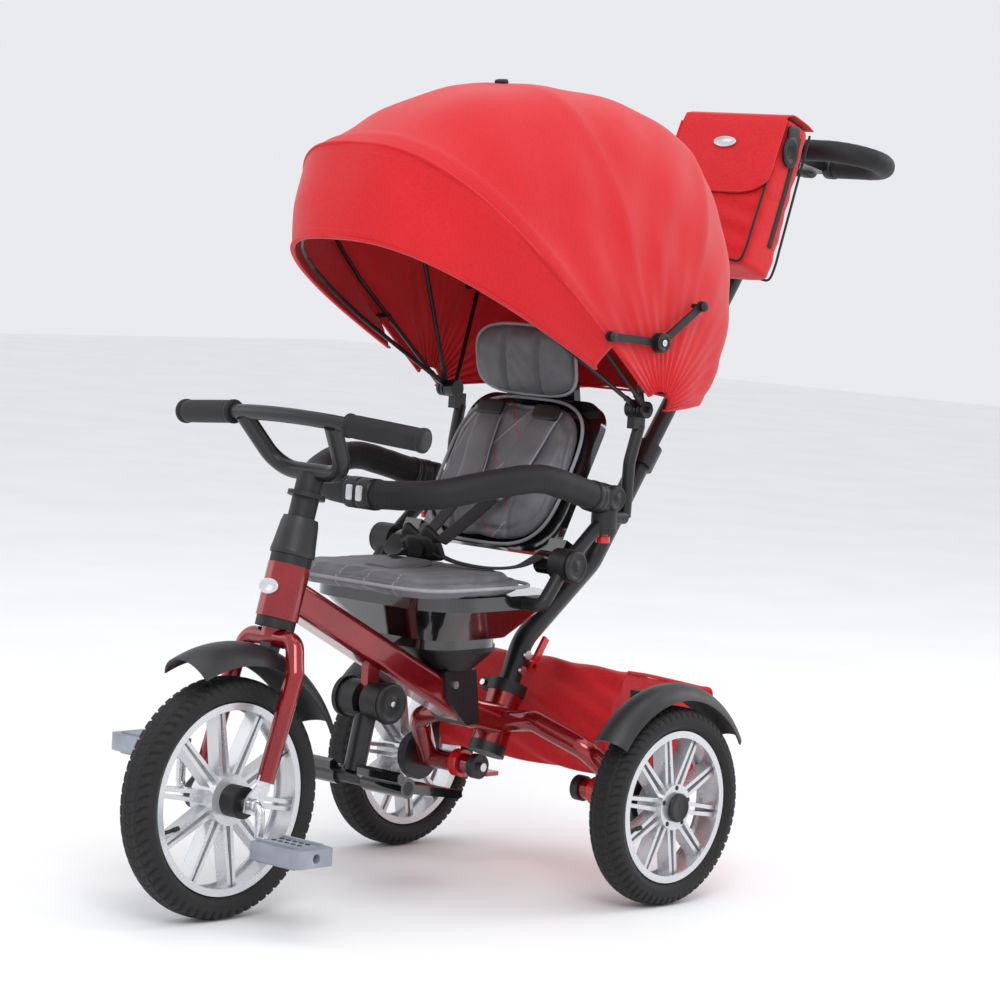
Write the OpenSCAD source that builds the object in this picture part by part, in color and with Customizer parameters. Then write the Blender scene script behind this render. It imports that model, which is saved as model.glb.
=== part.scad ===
// Child's push-along tricycle with a swivelling seat, fan canopy and telescopic push bar.
// Forward is -Y, the rider's left is +X, +Z is up; the origin lies on the floor, midway between the axles.

/* [Wheels] */
// Distance between the front and rear axles
wheelbase = 570; // [520:1:640]
// Outer diameter of the front tyre
front_d = 300; // [285:1:310]
// Outer diameter of the rear tyres
rear_d = 260; // [240:1:275]
// Width of a tyre
tyre_w = 48; // [40:1:52]
// Distance between the middles of the rear tyres
track = 472; // [450:1:520]
// Height of the tyre section above the rim seat
tyre_h = 32; // [26:1:36]
// Radius of the front wheel axle rod
axle_r = 6; // [5:0.5:7]
// Radius of the rear stub axles
stub_r = 7; // [6:0.5:8]
// Running clearance in every turning fit
run_gap = 0.06; // [0.03:0.01:0.09]

/* [Steering] */
// Angle of the steering axis from the vertical
rake = 14.6; // [10:0.1:18]
// Distance of the front axle ahead of the steering axis
lead = 22.5; // [15:0.5:30]
// Outer diameter of the head tube
head_d = 54; // [48:1:60]
// Length of the head tube
head_len = 68; // [60:1:80]
// Radius of the steerer tube
steerer_r = 15; // [12:0.5:16]
// Distance from the middle of the wheel to a fork leg's centre line
fork_x = 54; // [50:1:58]
// Diameter of a fork leg
fork_d = 23; // [20:1:26]
// Diameter of the handlebar tube
bar_d = 19; // [17:0.5:22]
// Overall width of the handlebar
bar_w = 418; // [380:2:460]
// Diameter of a hand grip
grip_d = 29; // [26:0.5:32]
// Length of a hand grip
grip_len = 112; // [95:1:120]
// Crank arm length
crank = 47; // [40:1:52]

/* [Frame] */
// Width of the down tube
beam_w = 46; // [40:1:52]
// Height of the down tube
beam_h = 40; // [34:1:44]
// Lean of the rear boss from the vertical
boss_lean = 22; // [18:1:26]
// Diameter of the rear boss
boss_d = 48; // [47:1:54]
// Radius of the brake pivot drums
drum_r = 17; // [14:1:20]

/* [Push bar] */
// Diameter of the lower push tube
lower_d = 29; // [28:0.5:32]
// Diameter of the upper push tube
upper_d = 24; // [20:0.5:25]
// Length of the upper push tube that shows above the collar
upper_len = 490; // [450:5:540]
// Half width of the ring handle
ring_w = 140; // [120:1:160]
// Radius of the ring handle's round ends
ring_r = 55; // [45:1:60]
// Diameter of the ring handle's foam
ring_foam = 30; // [26:1:34]

/* [Seat] */
// Half width of the seat shell
seat_w = 128; // [115:1:135]
// Height of the seat shell's rim
seat_z = 398; // [390:1:410]
// Thickness of the seat pad
pad_t = 24; // [16:1:30]
// Half width of the back shell
back_w = 118; // [105:1:124]
// Length of the back shell up from its hinge
back_len = 232; // [210:1:250]
// Lean of the back from the vertical
back_lean = 27; // [22:1:30]
// Distance of the side arms from the middle
arm_x = 156; // [154:1:162]
// Diameter of the bumper bar's foam
foam_d = 37; // [32:1:40]

/* [Canopy] */
// Half width of the canopy across its lower corners
hood_w = 203; // [196:1:212]
// Thickness of the canopy fabric shell
hood_t = 3; // [2.5:0.5:4]
// Diameter of the canopy bows
bow_d = 6; // [5:0.5:6.5]

/* [Hidden] */
$fn = 96;
front_r = front_d / 2;
rear_r = rear_d / 2;
axle_y = wheelbase / 2;
wheel_x = track / 2;
rim_front = front_r - tyre_h;
rim_rear = rear_r - tyre_h;
rim_half = tyre_w / 2 - 1;
touch = 0.3;
// Straight runs reach this far into the bends beside them, which are a hair thicker
lap = 0.4;
bend_grow = 1.004;

// Steering column: heights run along the axis from the foot of the axle's perpendicular
steer_foot = [0, -axle_y + lead * cos(rake), front_r - lead * sin(rake)];
head_lo = 230;
head_hi = head_lo + head_len;
cup_h = 12;
cup_lo = head_lo - cup_h;
cup_hi = head_hi + cup_h;
crown_h = 206;
cover_lo = cup_hi + touch;
cover_hi = cover_lo + 48;
stem_hi = cover_hi + 56;
bar_rise = 52;
bar_reach = 66;
bar_curve = 495;
bar_arc = 95;

// Frame line, boss and beam in the plane of symmetry
head_mid = steer_foot + (head_lo + head_hi) / 2 * [0, sin(rake), cos(rake)];
boss_mid = [0, 214, 214];
boss_len = 70;
post_r = lower_d / 2;
beam_knee = [0, 148, 228];
axle_rear = [0, axle_y, rear_r];
arm_end_x = wheel_x - tyre_w / 2 - 14;
stub_out = wheel_x + 16;
hub_r = 15;

// Seat swivel, back hinge and canopy pivot
swivel_y = 108;
bracket_z = 288;
pan_z = 323;
hinge = [0, 152, 439];
back_r = 13;
housing = [arm_x, 223, 513];
hood = [0, 264, 640];
hood_x = hood_w - 12;
stay_x = hood_w + 4;
visor_a = 26;
front_a = 40;
mid_a = 74;
rear_a = 113;
hem_a = 176;

// Push bar line
post_knee = boss_mid + 112 * [0, sin(boss_lean), cos(boss_lean)];
push_knee = [0, 384, 417];
push_dir = [0, 0.568, 0.823];
collar_lo = push_knee + 158 * push_dir;
collar_hi = push_knee + 192 * push_dir;
push_top = collar_hi + upper_len * push_dir;

function unit(v) = v / norm(v);
function turn_at(p, i) = 180 - acos(unit(p[i - 1] - p[i]) * unit(p[i + 1] - p[i]));
function setback(p, i, bend) = i == 0 || i == len(p) - 1 ? 0 : bend * tan(turn_at(p, i) / 2);
function side_of(z) = abs(z[0]) < 0.001 ? [1, 0, 0] : unit(cross([0, 0, 1], z));

// Places its children with their own axes along x, y and z
module frame_at(o, x, y, z) {
    multmatrix([[x[0], y[0], z[0], o[0]], [x[1], y[1], z[1], o[1]], [x[2], y[2], z[2], o[2]], [0, 0, 0, 1]])
        children();
}

// Places its children at a, with +Z towards b
module aim(a, b) {
    z = unit(b - a);
    x = side_of(z);
    frame_at(a, x, cross(z, x), z) children();
}

// A round rod from a to b
module rod(a, b, r) {
    aim(a, b) cylinder(r = r, h = norm(b - a));
}

// One profile carried along straight runs and circular bends
module swept(p, bend) {
    for (i = [0:len(p) - 2]) {
        d = unit(p[i + 1] - p[i]);
        a = p[i] + d * setback(p, i, bend);
        b = p[i + 1] - d * setback(p, i + 1, bend);
        aim(a - d * lap * min(i, 1), b) linear_extrude(norm(b - a) + lap * min(i, 1) + (i < len(p) - 2 ? lap : 0))
            children();
    }
    for (i = [1:1:len(p) - 2]) {
        a = unit(p[i - 1] - p[i]);
        b = unit(p[i + 1] - p[i]);
        turn = turn_at(p, i);
        c = p[i] + unit(a + b) * bend / cos(turn / 2);
        x = unit(p[i] + a * setback(p, i, bend) - c);
        e = unit(p[i] + b * setback(p, i, bend) - c);
        z = unit(cross(x, e));
        frame_at(c, x, cross(z, x), z)
            rotate_extrude(angle = turn) translate([bend, 0]) rotate(90) scale(bend_grow) children();
    }
}

// A round tube along a path
module tube(p, r, bend) {
    swept(p, bend) circle(r = r);
}

module ring(ro, ri, h) {
    difference() {
        cylinder(r = ro, h = h);
        translate([0, 0, -1]) cylinder(r = ri, h = h + 2);
    }
}

module rounded(w, h, r) {
    translate([-w / 2 + r, -h / 2 + r]) {
        square([w - 2 * r, h - 2 * r]);
        translate([-r, 0]) square([w, h - 2 * r]);
        translate([0, -r]) square([w - 2 * r, h]);
        for (x = [0, w - 2 * r], y = [0, h - 2 * r]) translate([x, y]) circle(r = r);
    }
}

module mirrored() {
    children();
    mirror([1, 0, 0]) children();
}

// Along +X from a point
module across(p) {
    translate(p) rotate([0, 90, 0]) children();
}

module on_steer(h) {
    translate(steer_foot) rotate([-rake, 0, 0]) translate([0, 0, h]) children();
}

module on_boss() {
    translate(boss_mid) rotate([-boss_lean, 0, 0]) children();
}

module on_back() {
    translate(hinge) rotate([-back_lean, 0, 0]) children();
}

// Frame

fold_pin = [0, -33, 255];
fold_pin_r = 8;
foot_low = [0, -52, 165];
ear_half = 6;

module steer_hole() {
    on_steer(cup_lo - 1) cylinder(r = steerer_r + run_gap, h = head_len + 2 * cup_h + 2);
}

module beam() {
    swept([head_mid, beam_knee, boss_mid], 60) rounded(beam_w, beam_h, 9);
}

module main_frame() color("firebrick") {
    difference() {
        union() {
            on_steer(head_lo) cylinder(r = head_d / 2, h = head_len);
            beam();
            on_boss() translate([0, 0, -boss_len / 2]) cylinder(r = boss_d / 2, h = boss_len);
            translate(fold_pin + [-ear_half, -10, 0]) cube([2 * ear_half, 20, 56]);
            across(fold_pin - [ear_half, 0, 0]) cylinder(r = 10, h = 2 * ear_half);
            across(fold_pin - [34, 0, 0]) cylinder(r = fold_pin_r, h = 68);
        }
        on_steer(head_lo - 1) cylinder(r = steerer_r + 3, h = head_len + 2);
        on_boss() translate([0, 0, -boss_len]) cylinder(r = post_r, h = 2 * boss_len);
    }
}

axle_in = 100;
axle_tube_r = 14;

module rear_arm() {
    difference() {
        union() {
            tube([[beam_w / 2, boss_mid[1] - 4, boss_mid[2]], [72, 206, 222], [150, 224, 194],
                  [arm_end_x - 12, axle_y, rear_r]], 14, 30);
            across([axle_in, axle_y, rear_r]) cylinder(r = axle_tube_r, h = arm_end_x - axle_in);
        }
        across([arm_end_x - 30, axle_y, rear_r]) cylinder(r = stub_r, h = 60);
        on_boss() translate([0, 0, -boss_len / 2 - 1]) cylinder(r = boss_d / 2, h = boss_len + 2);
        beam();
    }
}

module rear_arms() color("firebrick") {
    mirrored() rear_arm();
}

drum_in = arm_end_x;
drum_out = wheel_x - tyre_w / 2 - 2;

module stub_axles() color("silver") {
    mirrored() across([arm_end_x - 30, axle_y, rear_r]) cylinder(r = stub_r, h = stub_out - arm_end_x + 30);
}

module brake_drums() color("dimgray") {
    mirrored() {
        across([drum_in, axle_y, rear_r]) ring(34, stub_r, drum_out - drum_in);
        across([axle_in - 12, axle_y, rear_r]) cylinder(r = axle_tube_r + 3, h = 12);
    }
}

brake_x = 118;
module brake_pedal() color("firebrick") {
    difference() {
        union() {
            across([brake_x, axle_y, rear_r]) cylinder(r = axle_tube_r + 5, h = 14);
            translate([brake_x, axle_y, rear_r - 19]) cube([14, 52, 6]);
            translate([brake_x - 12, axle_y + 34, rear_r - 19]) cube([38, 24, 6]);
        }
        across([brake_x - 20, axle_y, rear_r]) cylinder(r = axle_tube_r + run_gap, h = 60);
    }
}

module brake_left() {
    brake_pedal();
}

module brake_right() {
    mirror([1, 0, 0]) brake_pedal();
}

module headset_cups() color("black") {
    difference() {
        union() {
            on_steer(cup_lo) cylinder(r = 25, h = cup_h);
            on_steer(head_hi) cylinder(r = 26, h = cup_h);
        }
        steer_hole();
    }
}

module boss_clamp() color("black") {
    on_boss() {
        translate([0, 0, boss_len / 2]) difference() {
            union() {
                cylinder(r = boss_d / 2 + 2, h = 16);
                translate([-boss_d / 2 - 14, -8, 0]) cube([22, 16, 16]);
            }
            translate([0, 0, -1]) cylinder(r = post_r, h = 20);
        }
        translate([0, 0, -boss_len / 2 - 14]) cylinder(r = boss_d / 2 + 1, h = 14);
    }
}

fender_r = rear_r + 30;
module fender_band(crown, half, sag, start, sweep) {
    arc_r = (half * half + sag * sag) / (2 * sag);
    rotate([0, 90, 0]) rotate(start) rotate_extrude(angle = sweep) intersection() {
        translate([crown - arc_r, 0]) difference() {
            circle(r = arc_r);
            circle(r = arc_r - 2.5);
        }
        translate([crown - sag, -half]) square([sag + 5, 2 * half]);
    }
}

module rear_fenders() color("dimgray") {
    mirrored() {
        translate([wheel_x, axle_y, rear_r]) fender_band(fender_r, 27, 20, 122, 112);
        difference() {
            translate([arm_end_x - 24, axle_y - 8, rear_r + 9]) cube([12, 16, fender_r - 26]);
            across([arm_end_x - 25, axle_y, rear_r]) cylinder(r = axle_tube_r, h = 26);
            rear_arm();
        }
        translate([arm_end_x - 12, axle_y - 8, rear_r + fender_r - 21])
            cube([wheel_x - 25 - arm_end_x + 12, 16, 4]);
    }
}

basket_top = 292;
module basket_side(grow) {
    polygon([[300 - grow, basket_top + grow], [478 + grow, 256 + grow], [462 + grow, 168 - grow],
             [440, 140 - grow], [326, 140 - grow], [312, 153 - grow], [262 - grow, 153 - grow],
             [262 - grow, 236]]);
}

module basket() color("red") {
    difference() {
        translate([-150, 0, 0]) rotate([90, 0, 90]) linear_extrude(300) basket_side(0);
        translate([-147, 0, 0]) rotate([90, 0, 90]) linear_extrude(294) basket_side(-3);
        translate([-120, 395, 200]) cube([240, 60, 100]);
        rear_arms();
        tube([boss_mid, post_knee, push_knee], post_r + 1, 60);
    }
    mirrored() across([104, axle_y, rear_r]) difference() {
        union() {
            cylinder(r = axle_tube_r + 3, h = 10);
            translate([-24, -6, 0]) cube([12, 12, 10]);
        }
        translate([0, 0, -1]) cylinder(r = axle_tube_r + touch, h = 12);
    }
}

module seat_bracket() color("dimgray") {
    difference() {
        translate([-beam_w / 2 - 4, 0, 0]) rotate([90, 0, 90]) linear_extrude(beam_w + 8)
            polygon([[78, bracket_z], [138, bracket_z], [150, 216], [126, 214], [84, 252]]);
        beam();
        on_boss() translate([0, 0, -boss_len]) cylinder(r = boss_d / 2 + 3, h = 2 * boss_len);
    }
}

module frame_bolts() color("silver") {
    on_boss() {
        translate([-boss_d / 2 - 10, -8, boss_len / 2 + 8]) rotate([90, 0, 0]) cylinder(r = 4, h = 5);
        for (h = [70, 92]) translate([post_r, 0, h]) rotate([0, 90, 0]) cylinder(r = 6, h = 4);
    }
    mirrored() across([beam_w / 2 + 4, 98, 270]) cylinder(r = 5, h = 3);
    mirrored() across([axle_in - 18, axle_y, rear_r]) cylinder(r = 6, h = 6);
}

// Push bar, fixed part: the post, its collar and the lever's ear
lever_h = 84;
module push_post() color("dimgray") {
    difference() {
        union() {
            tube([boss_mid - 20 * [0, sin(boss_lean), cos(boss_lean)], post_knee, push_knee,
                  collar_lo + 24 * push_dir], post_r, 60);
            on_boss() translate([-4, 0, lever_h - 7]) cube([8, post_r + 12, 14]);
            on_boss() translate([-4, post_r + 12, lever_h]) rotate([0, 90, 0]) cylinder(r = 7, h = 8);
            on_boss() translate([4, post_r + 12, lever_h]) rotate([0, 90, 0]) cylinder(r = 3, h = 8);
        }
        rod(push_knee + 22 * push_dir, collar_hi, upper_d / 2 + run_gap);
    }
    difference() {
        rod(collar_lo, collar_hi, post_r + 5);
        rod(collar_lo - push_dir, collar_lo + (24 + touch) * push_dir, post_r + run_gap);
        rod(collar_lo - push_dir, collar_hi + push_dir, upper_d / 2 + run_gap);
    }
}

module clamp_lever() color("red") {
    on_boss() translate([4 + touch, post_r + 12, lever_h]) rotate([0, 90, 0]) difference() {
        union() {
            cylinder(r = 8, h = 6);
            rotate(-12) translate([-44, -5, 0.5]) cube([44, 10, 5]);
        }
        translate([0, 0, -1]) cylinder(r = 3 + run_gap, h = 12);
    }
}

// Fork and steering

module fork_crown() {
    on_steer(0) tube([[-fork_x, -7, 30], [-fork_x, 0, 166], [-fork_x + 14, 0, crown_h],
                      [fork_x - 14, 0, crown_h], [fork_x, 0, 166], [fork_x, -7, 30]], fork_d / 2, 16);
}

dropout_t = 3;
module dropout_plate(grow) {
    on_steer(0) translate([fork_x - dropout_t / 2 - grow, 0, 0]) rotate([90, 0, 90])
        linear_extrude(dropout_t + 2 * grow) polygon([[-16, 52], [3, 52], [2, 20], [-12, -12],
            [-lead - 8, -12], [-lead - 11, 4], [-20, 24]]);
}

module fork() color("firebrick") {
    difference() {
        union() {
            fork_crown();
            on_steer(crown_h) cylinder(r = steerer_r, h = cover_lo - crown_h);
        }
        mirrored() dropout_plate(0);
    }
}

module dropouts() color("silver") {
    mirrored() difference() {
        dropout_plate(0);
        across([40, -axle_y, front_r]) cylinder(r = axle_r + run_gap, h = 40);
    }
}

front_crown = front_r + 43;
module front_fender() color("dimgray") {
    difference() {
        union() {
            translate([0, -axle_y, front_r]) fender_band(front_crown, 38, 26, 116, 88);
            on_steer(crown_h - 22) translate([-9, -9, 0]) cube([18, 18, 16]);
        }
        fork_crown();
        translate([0, -axle_y, front_r]) rotate([0, 90, 0])
            cylinder(r = front_crown - 4, h = 60, center = true);
    }
    translate([0, -axle_y, front_r]) fender_band(front_crown, 38, 26, 116, 88);
}

module headset_cover() color("dimgray") {
    on_steer(cover_lo) difference() {
        rotate_extrude() polygon([[0, 0], [28, 0], [28.5, 4], [27, 14], [24, 40], [22, 48], [0, 48]]);
        translate([0, 0, -1]) cylinder(r = 17, h = 60);
    }
}

module on_bar() {
    on_steer(stem_hi + 3) rotate([50.6, 0, 0]) children();
}

bar_up = 83;
bar_pts = [[-bar_w / 2, 31], [-50, 0], [50, 0], [bar_w / 2, 31]];
function bar_point(p) = [p[0], 0.491 * p[1], bar_up + 5 - 0.871 * p[1]];

module handlebar() color("dimgray") {
    on_bar() {
        tube([for (p = bar_pts) bar_point(p)], bar_d / 2, 500);
        tube([[-78, 0, bar_up - 2], [-58, 0, 0], [58, 0, 0], [78, 0, bar_up - 2]], 11, 40);
    }
}

module stem() color("dimgray") {
    difference() {
        on_steer(cover_lo) union() {
            cylinder(r = 17, h = stem_hi - cover_lo);
            translate([0, 0, 74]) cylinder(r = 24, h = 6);
        }
        on_bar() tube([[-78, 0, bar_up - 2], [-58, 0, 0], [58, 0, 0], [78, 0, bar_up - 2]], 11, 40);
    }
}

module grips() color("black") {
    mirrored() on_bar() {
        a = bar_point(bar_pts[3]);
        b = bar_point(bar_pts[2]);
        difference() {
            rod(a - 3 * unit(b - a), a + grip_len * unit(b - a), grip_d / 2);
            rod(a, b, bar_d / 2);
        }
    }
}

// Wheels: one profile for the tyre, one pattern for the rim

module tyre_section(r) {
    difference() {
        translate([r - tyre_h / 2, 0]) rounded(tyre_h, tyre_w, 15);
        translate([r - tyre_h - 1, -tyre_w]) square([2.5, 2 * tyre_w]);
        for (y = [-13, -4.5, 4.5, 13]) translate([r - 2, y - 0.9]) square([4, 1.8]);
    }
}

module tyre(r) {
    rotate([0, 90, 0]) rotate_extrude() tyre_section(r);
}

spokes = 10;
module rim(r, hub, bore) {
    seat = r - tyre_h + 1.5;
    rotate([0, 90, 0]) difference() {
        union() {
            rotate_extrude() {
                translate([seat - 5, -rim_half + 4]) square([5, 2 * rim_half - 8]);
                translate([seat - 9, rim_half - 8]) square([9, 4]);
                translate([seat - 9, -rim_half + 4]) square([9, 4]);
            }
            translate([0, 0, -rim_half + 3]) cylinder(r = hub, h = 2 * rim_half - 6);
            for (k = [0:spokes - 1]) rotate((k + 0.25) * 360 / spokes) for (side = [-1, 1])
                translate([0, side * 6.4, 0]) rotate(-side * 1.2) translate([hub - 5, -2.6, -8.3])
                    cube([seat - hub + 2, 5.2, 20]);
        }
        translate([0, 0, -40]) cylinder(r = bore, h = 80);
    }
}

module front_tyre() color("black") {
    translate([0, -axle_y, front_r]) tyre(front_r);
}

module front_rim() color("silver") {
    translate([0, -axle_y, front_r]) rim(front_r, 32, axle_r);
}

cap_len = 24;
module hub_caps() color("black") {
    mirrored() across([rim_half - 3, -axle_y, front_r]) ring(20, axle_r, cap_len);
}

module crank_axle() color("silver") {
    translate([0, -axle_y, front_r])
        tube([[-162, 0, crank], [-72, 0, crank], [-72, 0, 0], [72, 0, 0], [72, 0, -crank], [162, 0, -crank]],
             axle_r, 12);
}

module pedal(x0) {
    difference() {
        translate([x0, -axle_y, 0]) union() {
            translate([0, -30, -11]) cube([70, 60, 22]);
            translate([70, 0, 0]) intersection() {
                translate([0, 0, -11]) cylinder(r = 30, h = 22);
                translate([0, -30, -11]) cube([14, 60, 22]);
            }
            for (z = [11, -14], y = [-24, 18]) translate([4, y, z]) cube([66, 6, 3]);
        }
        translate([x0 - 10, -axle_y, 0]) rotate([0, 90, 0]) cylinder(r = axle_r + run_gap, h = 120);
    }
}

module pedal_left() color("lightgray") {
    translate([0, 0, front_r - crank]) pedal(88);
}

module pedal_right() color("lightgray") {
    translate([0, 0, front_r + crank]) mirror([1, 0, 0]) pedal(88);
}

module rear_wheel_rim() {
    translate([wheel_x, axle_y, rear_r]) rim(rear_r, 30, stub_r + run_gap);
    across([stub_out + 1, axle_y, rear_r]) cylinder(r = 15, h = 6);
    across([wheel_x + rim_half - 8, axle_y, rear_r]) ring(20, stub_r + run_gap, 3);
}

module rear_tyre_left() color("black") {
    translate([wheel_x, axle_y, rear_r]) tyre(rear_r);
}

module rear_tyre_right() color("black") {
    mirror([1, 0, 0]) translate([wheel_x, axle_y, rear_r]) tyre(rear_r);
}

module rear_rim_left() color("silver") {
    rear_wheel_rim();
}

module rear_rim_right() color("silver") {
    mirror([1, 0, 0]) rear_wheel_rim();
}

// Footrest

module footrest_drum() color("black") {
    difference() {
        across(fold_pin - [34, 0, 0]) union() {
            cylinder(r = 24, h = 68);
            translate([0, 0, 68]) cylinder(r = 27, h = 4);
            translate([0, 0, -4]) cylinder(r = 27, h = 4);
        }
        across(fold_pin - [34.5, 0, 0]) cylinder(r = fold_pin_r + run_gap, h = 69);
        translate(fold_pin + [-ear_half - touch, -40, -14]) cube([2 * ear_half + 2 * touch, 80, 80]);
    }
}

module footrest_tube() color("black") {
    difference() {
        union() {
            rod(fold_pin, foot_low, 14);
            rod(foot_low - [0, 0, 8] - [96, 0, 0], foot_low - [0, 0, 8] + [96, 0, 0], 9);
        }
        across(fold_pin - [50, 0, 0]) cylinder(r = 24, h = 100);
    }
}

module foot_plates() color("black") {
    mirrored() difference() {
        translate([24, 0, 0]) rotate([90, 0, 90]) linear_extrude(72) {
            translate([foot_low[1], foot_low[2] - 8]) circle(r = 13);
            polygon([[-72, 175], [-66, 178], [-46, 162], [48, 146], [50, 138], [44, 136], [-50, 150], [-72, 166]]);
        }
        rod(foot_low - [0, 0, 8] - [120, 0, 0], foot_low - [0, 0, 8] + [120, 0, 0], 9);
    }
}

// Seat on its turntable

module turntable() color("black") {
    translate([0, swivel_y, bracket_z + touch]) {
        cylinder(r1 = 34, r2 = 62, h = pan_z - bracket_z - 8);
        translate([0, 0, pan_z - bracket_z - 8]) cylinder(r = 62, h = 8 - touch);
    }
}

rim_t = 18;
seat_front = -40;
seat_back = 196;
seat_mid = (seat_front + seat_back) / 2;
module seat_outline(w, d, r) {
    translate([0, seat_mid]) rounded(2 * w, d, r);
}

module seat_shell() color("black") {
    d = seat_back - seat_front;
    translate([0, 0, pan_z]) linear_extrude(14) seat_outline(seat_w - 58, d - 104, 40);
    hull() {
        translate([0, 0, pan_z + 14]) linear_extrude(0.1) seat_outline(seat_w - 46, d - 80, 44);
        translate([0, 0, seat_z - rim_t - 0.1]) linear_extrude(0.1) seat_outline(seat_w - 5, d - 10, 56);
    }
    translate([0, 0, seat_z - rim_t]) linear_extrude(rim_t) seat_outline(seat_w, d, 60);
}

pad_front = -92;
pad_back = 132;
buckle = [0, 50, 446];
module seat_pad() color("gray") {
    translate([0, (pad_front + pad_back) / 2, seat_z + touch]) linear_extrude(pad_t)
        rounded(2 * arm_x - 24, pad_back - pad_front, 52);
    translate([-26, 0, 0]) rotate([90, 0, 90]) linear_extrude(52)
        polygon([[-14, seat_z + pad_t + touch], [2, seat_z + pad_t + touch], [62, 425], [62, 429.6], [40, 429.6]]);
}

arm_r = 9;
hinge_in = arm_x - arm_r - 4;
module side_arm() {
    difference() {
        union() {
            tube([[seat_w, 112, seat_z - 10], [arm_x, 112, seat_z - 10], [arm_x, 152, 439],
                  housing - [0, 0, 15], [arm_x, 262, 498]], arm_r, 10);
            across([hinge_in, hinge[1], hinge[2]]) cylinder(r = 21, h = 28);
            across([hinge_in - 24, hinge[1], hinge[2]]) cylinder(r = 8, h = 30);
            translate([housing[0], housing[1], 478]) cylinder(r = 17, h = 33);
        }
        translate([housing[0], housing[1], 460]) cylinder(r = 6 + run_gap, h = 90);
    }
}

module side_arms() color("black") {
    mirrored() side_arm();
}

// Fabric fan: the arch at angle a has a superellipse outline of half width w and height r

hood_n = 2.8;
function fan_w(a) = a < front_a ? hood_w - 18 * (front_a - a) / (front_a - visor_a) : hood_w;
fan_r = [[visor_a, 454], [front_a, 494], [57, 452], [mid_a, 424], [94, 403], [rear_a, 392], [145, 290], [hem_a, 165]];
function fan_h(a) = lookup(a, fan_r);
function fan_point(a, t, in) =
    let (x = (fan_w(a) - in) * sign(cos(t)) * pow(abs(cos(t)), 2 / hood_n),
         q = (fan_h(a) - in) * pow(sin(t), 2 / hood_n))
    [x, hood[1] - q * cos(a), hood[2] + q * sin(a)];

fan_n = 28;
function fan_row(a, in, t0) = [for (i = [0:fan_n]) fan_point(a, t0 + i * (180 - 2 * t0) / fan_n, in)];

// Closed shell between the arches at a0 and a1
module fan(a0, a1, steps, t0 = 1.2) {
    w = fan_n + 1;
    rows = [for (k = [0:steps]) a0 + k * (a1 - a0) / steps];
    outer = [for (a = rows) each fan_row(a, 0, t0)];
    inner = [for (a = rows) each fan_row(a, hood_t, t0)];
    n = len(outer);
    skin = [for (k = [0:steps - 1], i = [0:fan_n - 1]) each
        let (p = k * w + i) [[p, p + 1, p + w], [p + 1, p + w + 1, p + w]]];
    lining = [for (f = skin) [f[0] + n, f[2] + n, f[1] + n]];
    rims = [for (i = [0:fan_n - 1]) each let (p = i, q = steps * w + i)
        [[p + 1, p, p + n], [p + 1, p + n, p + n + 1], [q, q + 1, q + n], [q + 1, q + n + 1, q + n]]];
    ends = [for (k = [0:steps - 1]) each let (p = k * w, q = k * w + fan_n)
        [[p, p + w, p + n], [p + w, p + w + n, p + n], [q + w, q, q + n], [q + w, q + n, q + w + n]]];
    polyhedron(concat(outer, inner), concat(skin, lining, rims, ends), 4);
}

// A thin rod bent along the arch at angle a
bow_n = 22;
bow_sides = 10;
module bow(a, x_end, start) {
    in = hood_t + bow_d / 2 + 6;
    mid = [for (i = [2:bow_n - 2]) fan_point(a, 4 + i * 172 / bow_n, in)];
    foot = hood + start * [0, -cos(a), sin(a)];
    p = concat([foot + [x_end, 0, 0]], mid, [foot - [x_end, 0, 0]]);
    m = len(p);
    up = [1, 0, 0];
    normal = [0, sin(a), cos(a)];
    rings = [for (i = [0:m - 1]) each
        let (d = unit(p[min(i + 1, m - 1)] - p[max(i - 1, 0)]), u = unit(cross(d, normal)))
        [for (k = [0:bow_sides - 1]) p[i] + bow_d / 2 *
            (cos(k * 360 / bow_sides) * u + sin(k * 360 / bow_sides) * normal)]];
    walls = [for (i = [0:m - 2], k = [0:bow_sides - 1])
        let (k2 = (k + 1) % bow_sides)
        [i * bow_sides + k, i * bow_sides + k2, (i + 1) * bow_sides + k2, (i + 1) * bow_sides + k]];
    polyhedron(rings, concat(walls, [[for (k = [0:bow_sides - 1]) bow_sides - 1 - k]],
        [[for (k = [0:bow_sides - 1]) (m - 1) * bow_sides + k]]), 4);
}

eye_t = 4;
pin_x = hood_x - 26;
lug_len = 32;
module eye(x, a) {
    mirrored() {
        across([x, hood[1], hood[2]]) ring(11, 4 + run_gap, eye_t);
        translate([x, hood[1], hood[2]]) rotate([-a, 0, 0]) translate([0, -lug_len, -3.5])
            cube([eye_t, lug_len - 8, 7]);
    }
}

module canopy_posts() color("dimgray") {
    mirrored() difference() {
        union() {
            tube([[arm_x, 264, 498], [arm_x, 266, 570], [pin_x - 6, hood[1] + 14, hood[2] - 22]], 8, 40);
            across([pin_x - 12, hood[1], hood[2]]) cylinder(r = 12, h = 13);
            translate([pin_x - 12, hood[1] - 4, hood[2] - 26]) cube([12, 22, 20]);
            across([pin_x, hood[1], hood[2]]) cylinder(r = 4, h = 24);
        }
        side_arm();
    }
    bow(rear_a, pin_x - 5, 8);
    mirrored() across([hood_x - 11, stay_rear[1], stay_rear[2]])
        cylinder(r = 3, h = stay_x + 2 * eye_t + 10 - hood_x);
}

module stay_pins(grow) {
    mirrored() for (p = [stay_front, stay_rear])
        across([hood_x - 30, p[1], p[2]]) cylinder(r = 3 + grow, h = 60);
}

stay_r = 149;
stay_front = hood + stay_r * [0, -cos(front_a), sin(front_a)];
stay_rear = hood + stay_r * [0, -cos(rear_a), sin(rear_a)];
stay_mid = [0, 246, 729];

module canopy_rear() color("red") {
    difference() {
        fan(rear_a + 0.1, hem_a, 10);
        stay_pins(0.4);
    }
}

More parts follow.
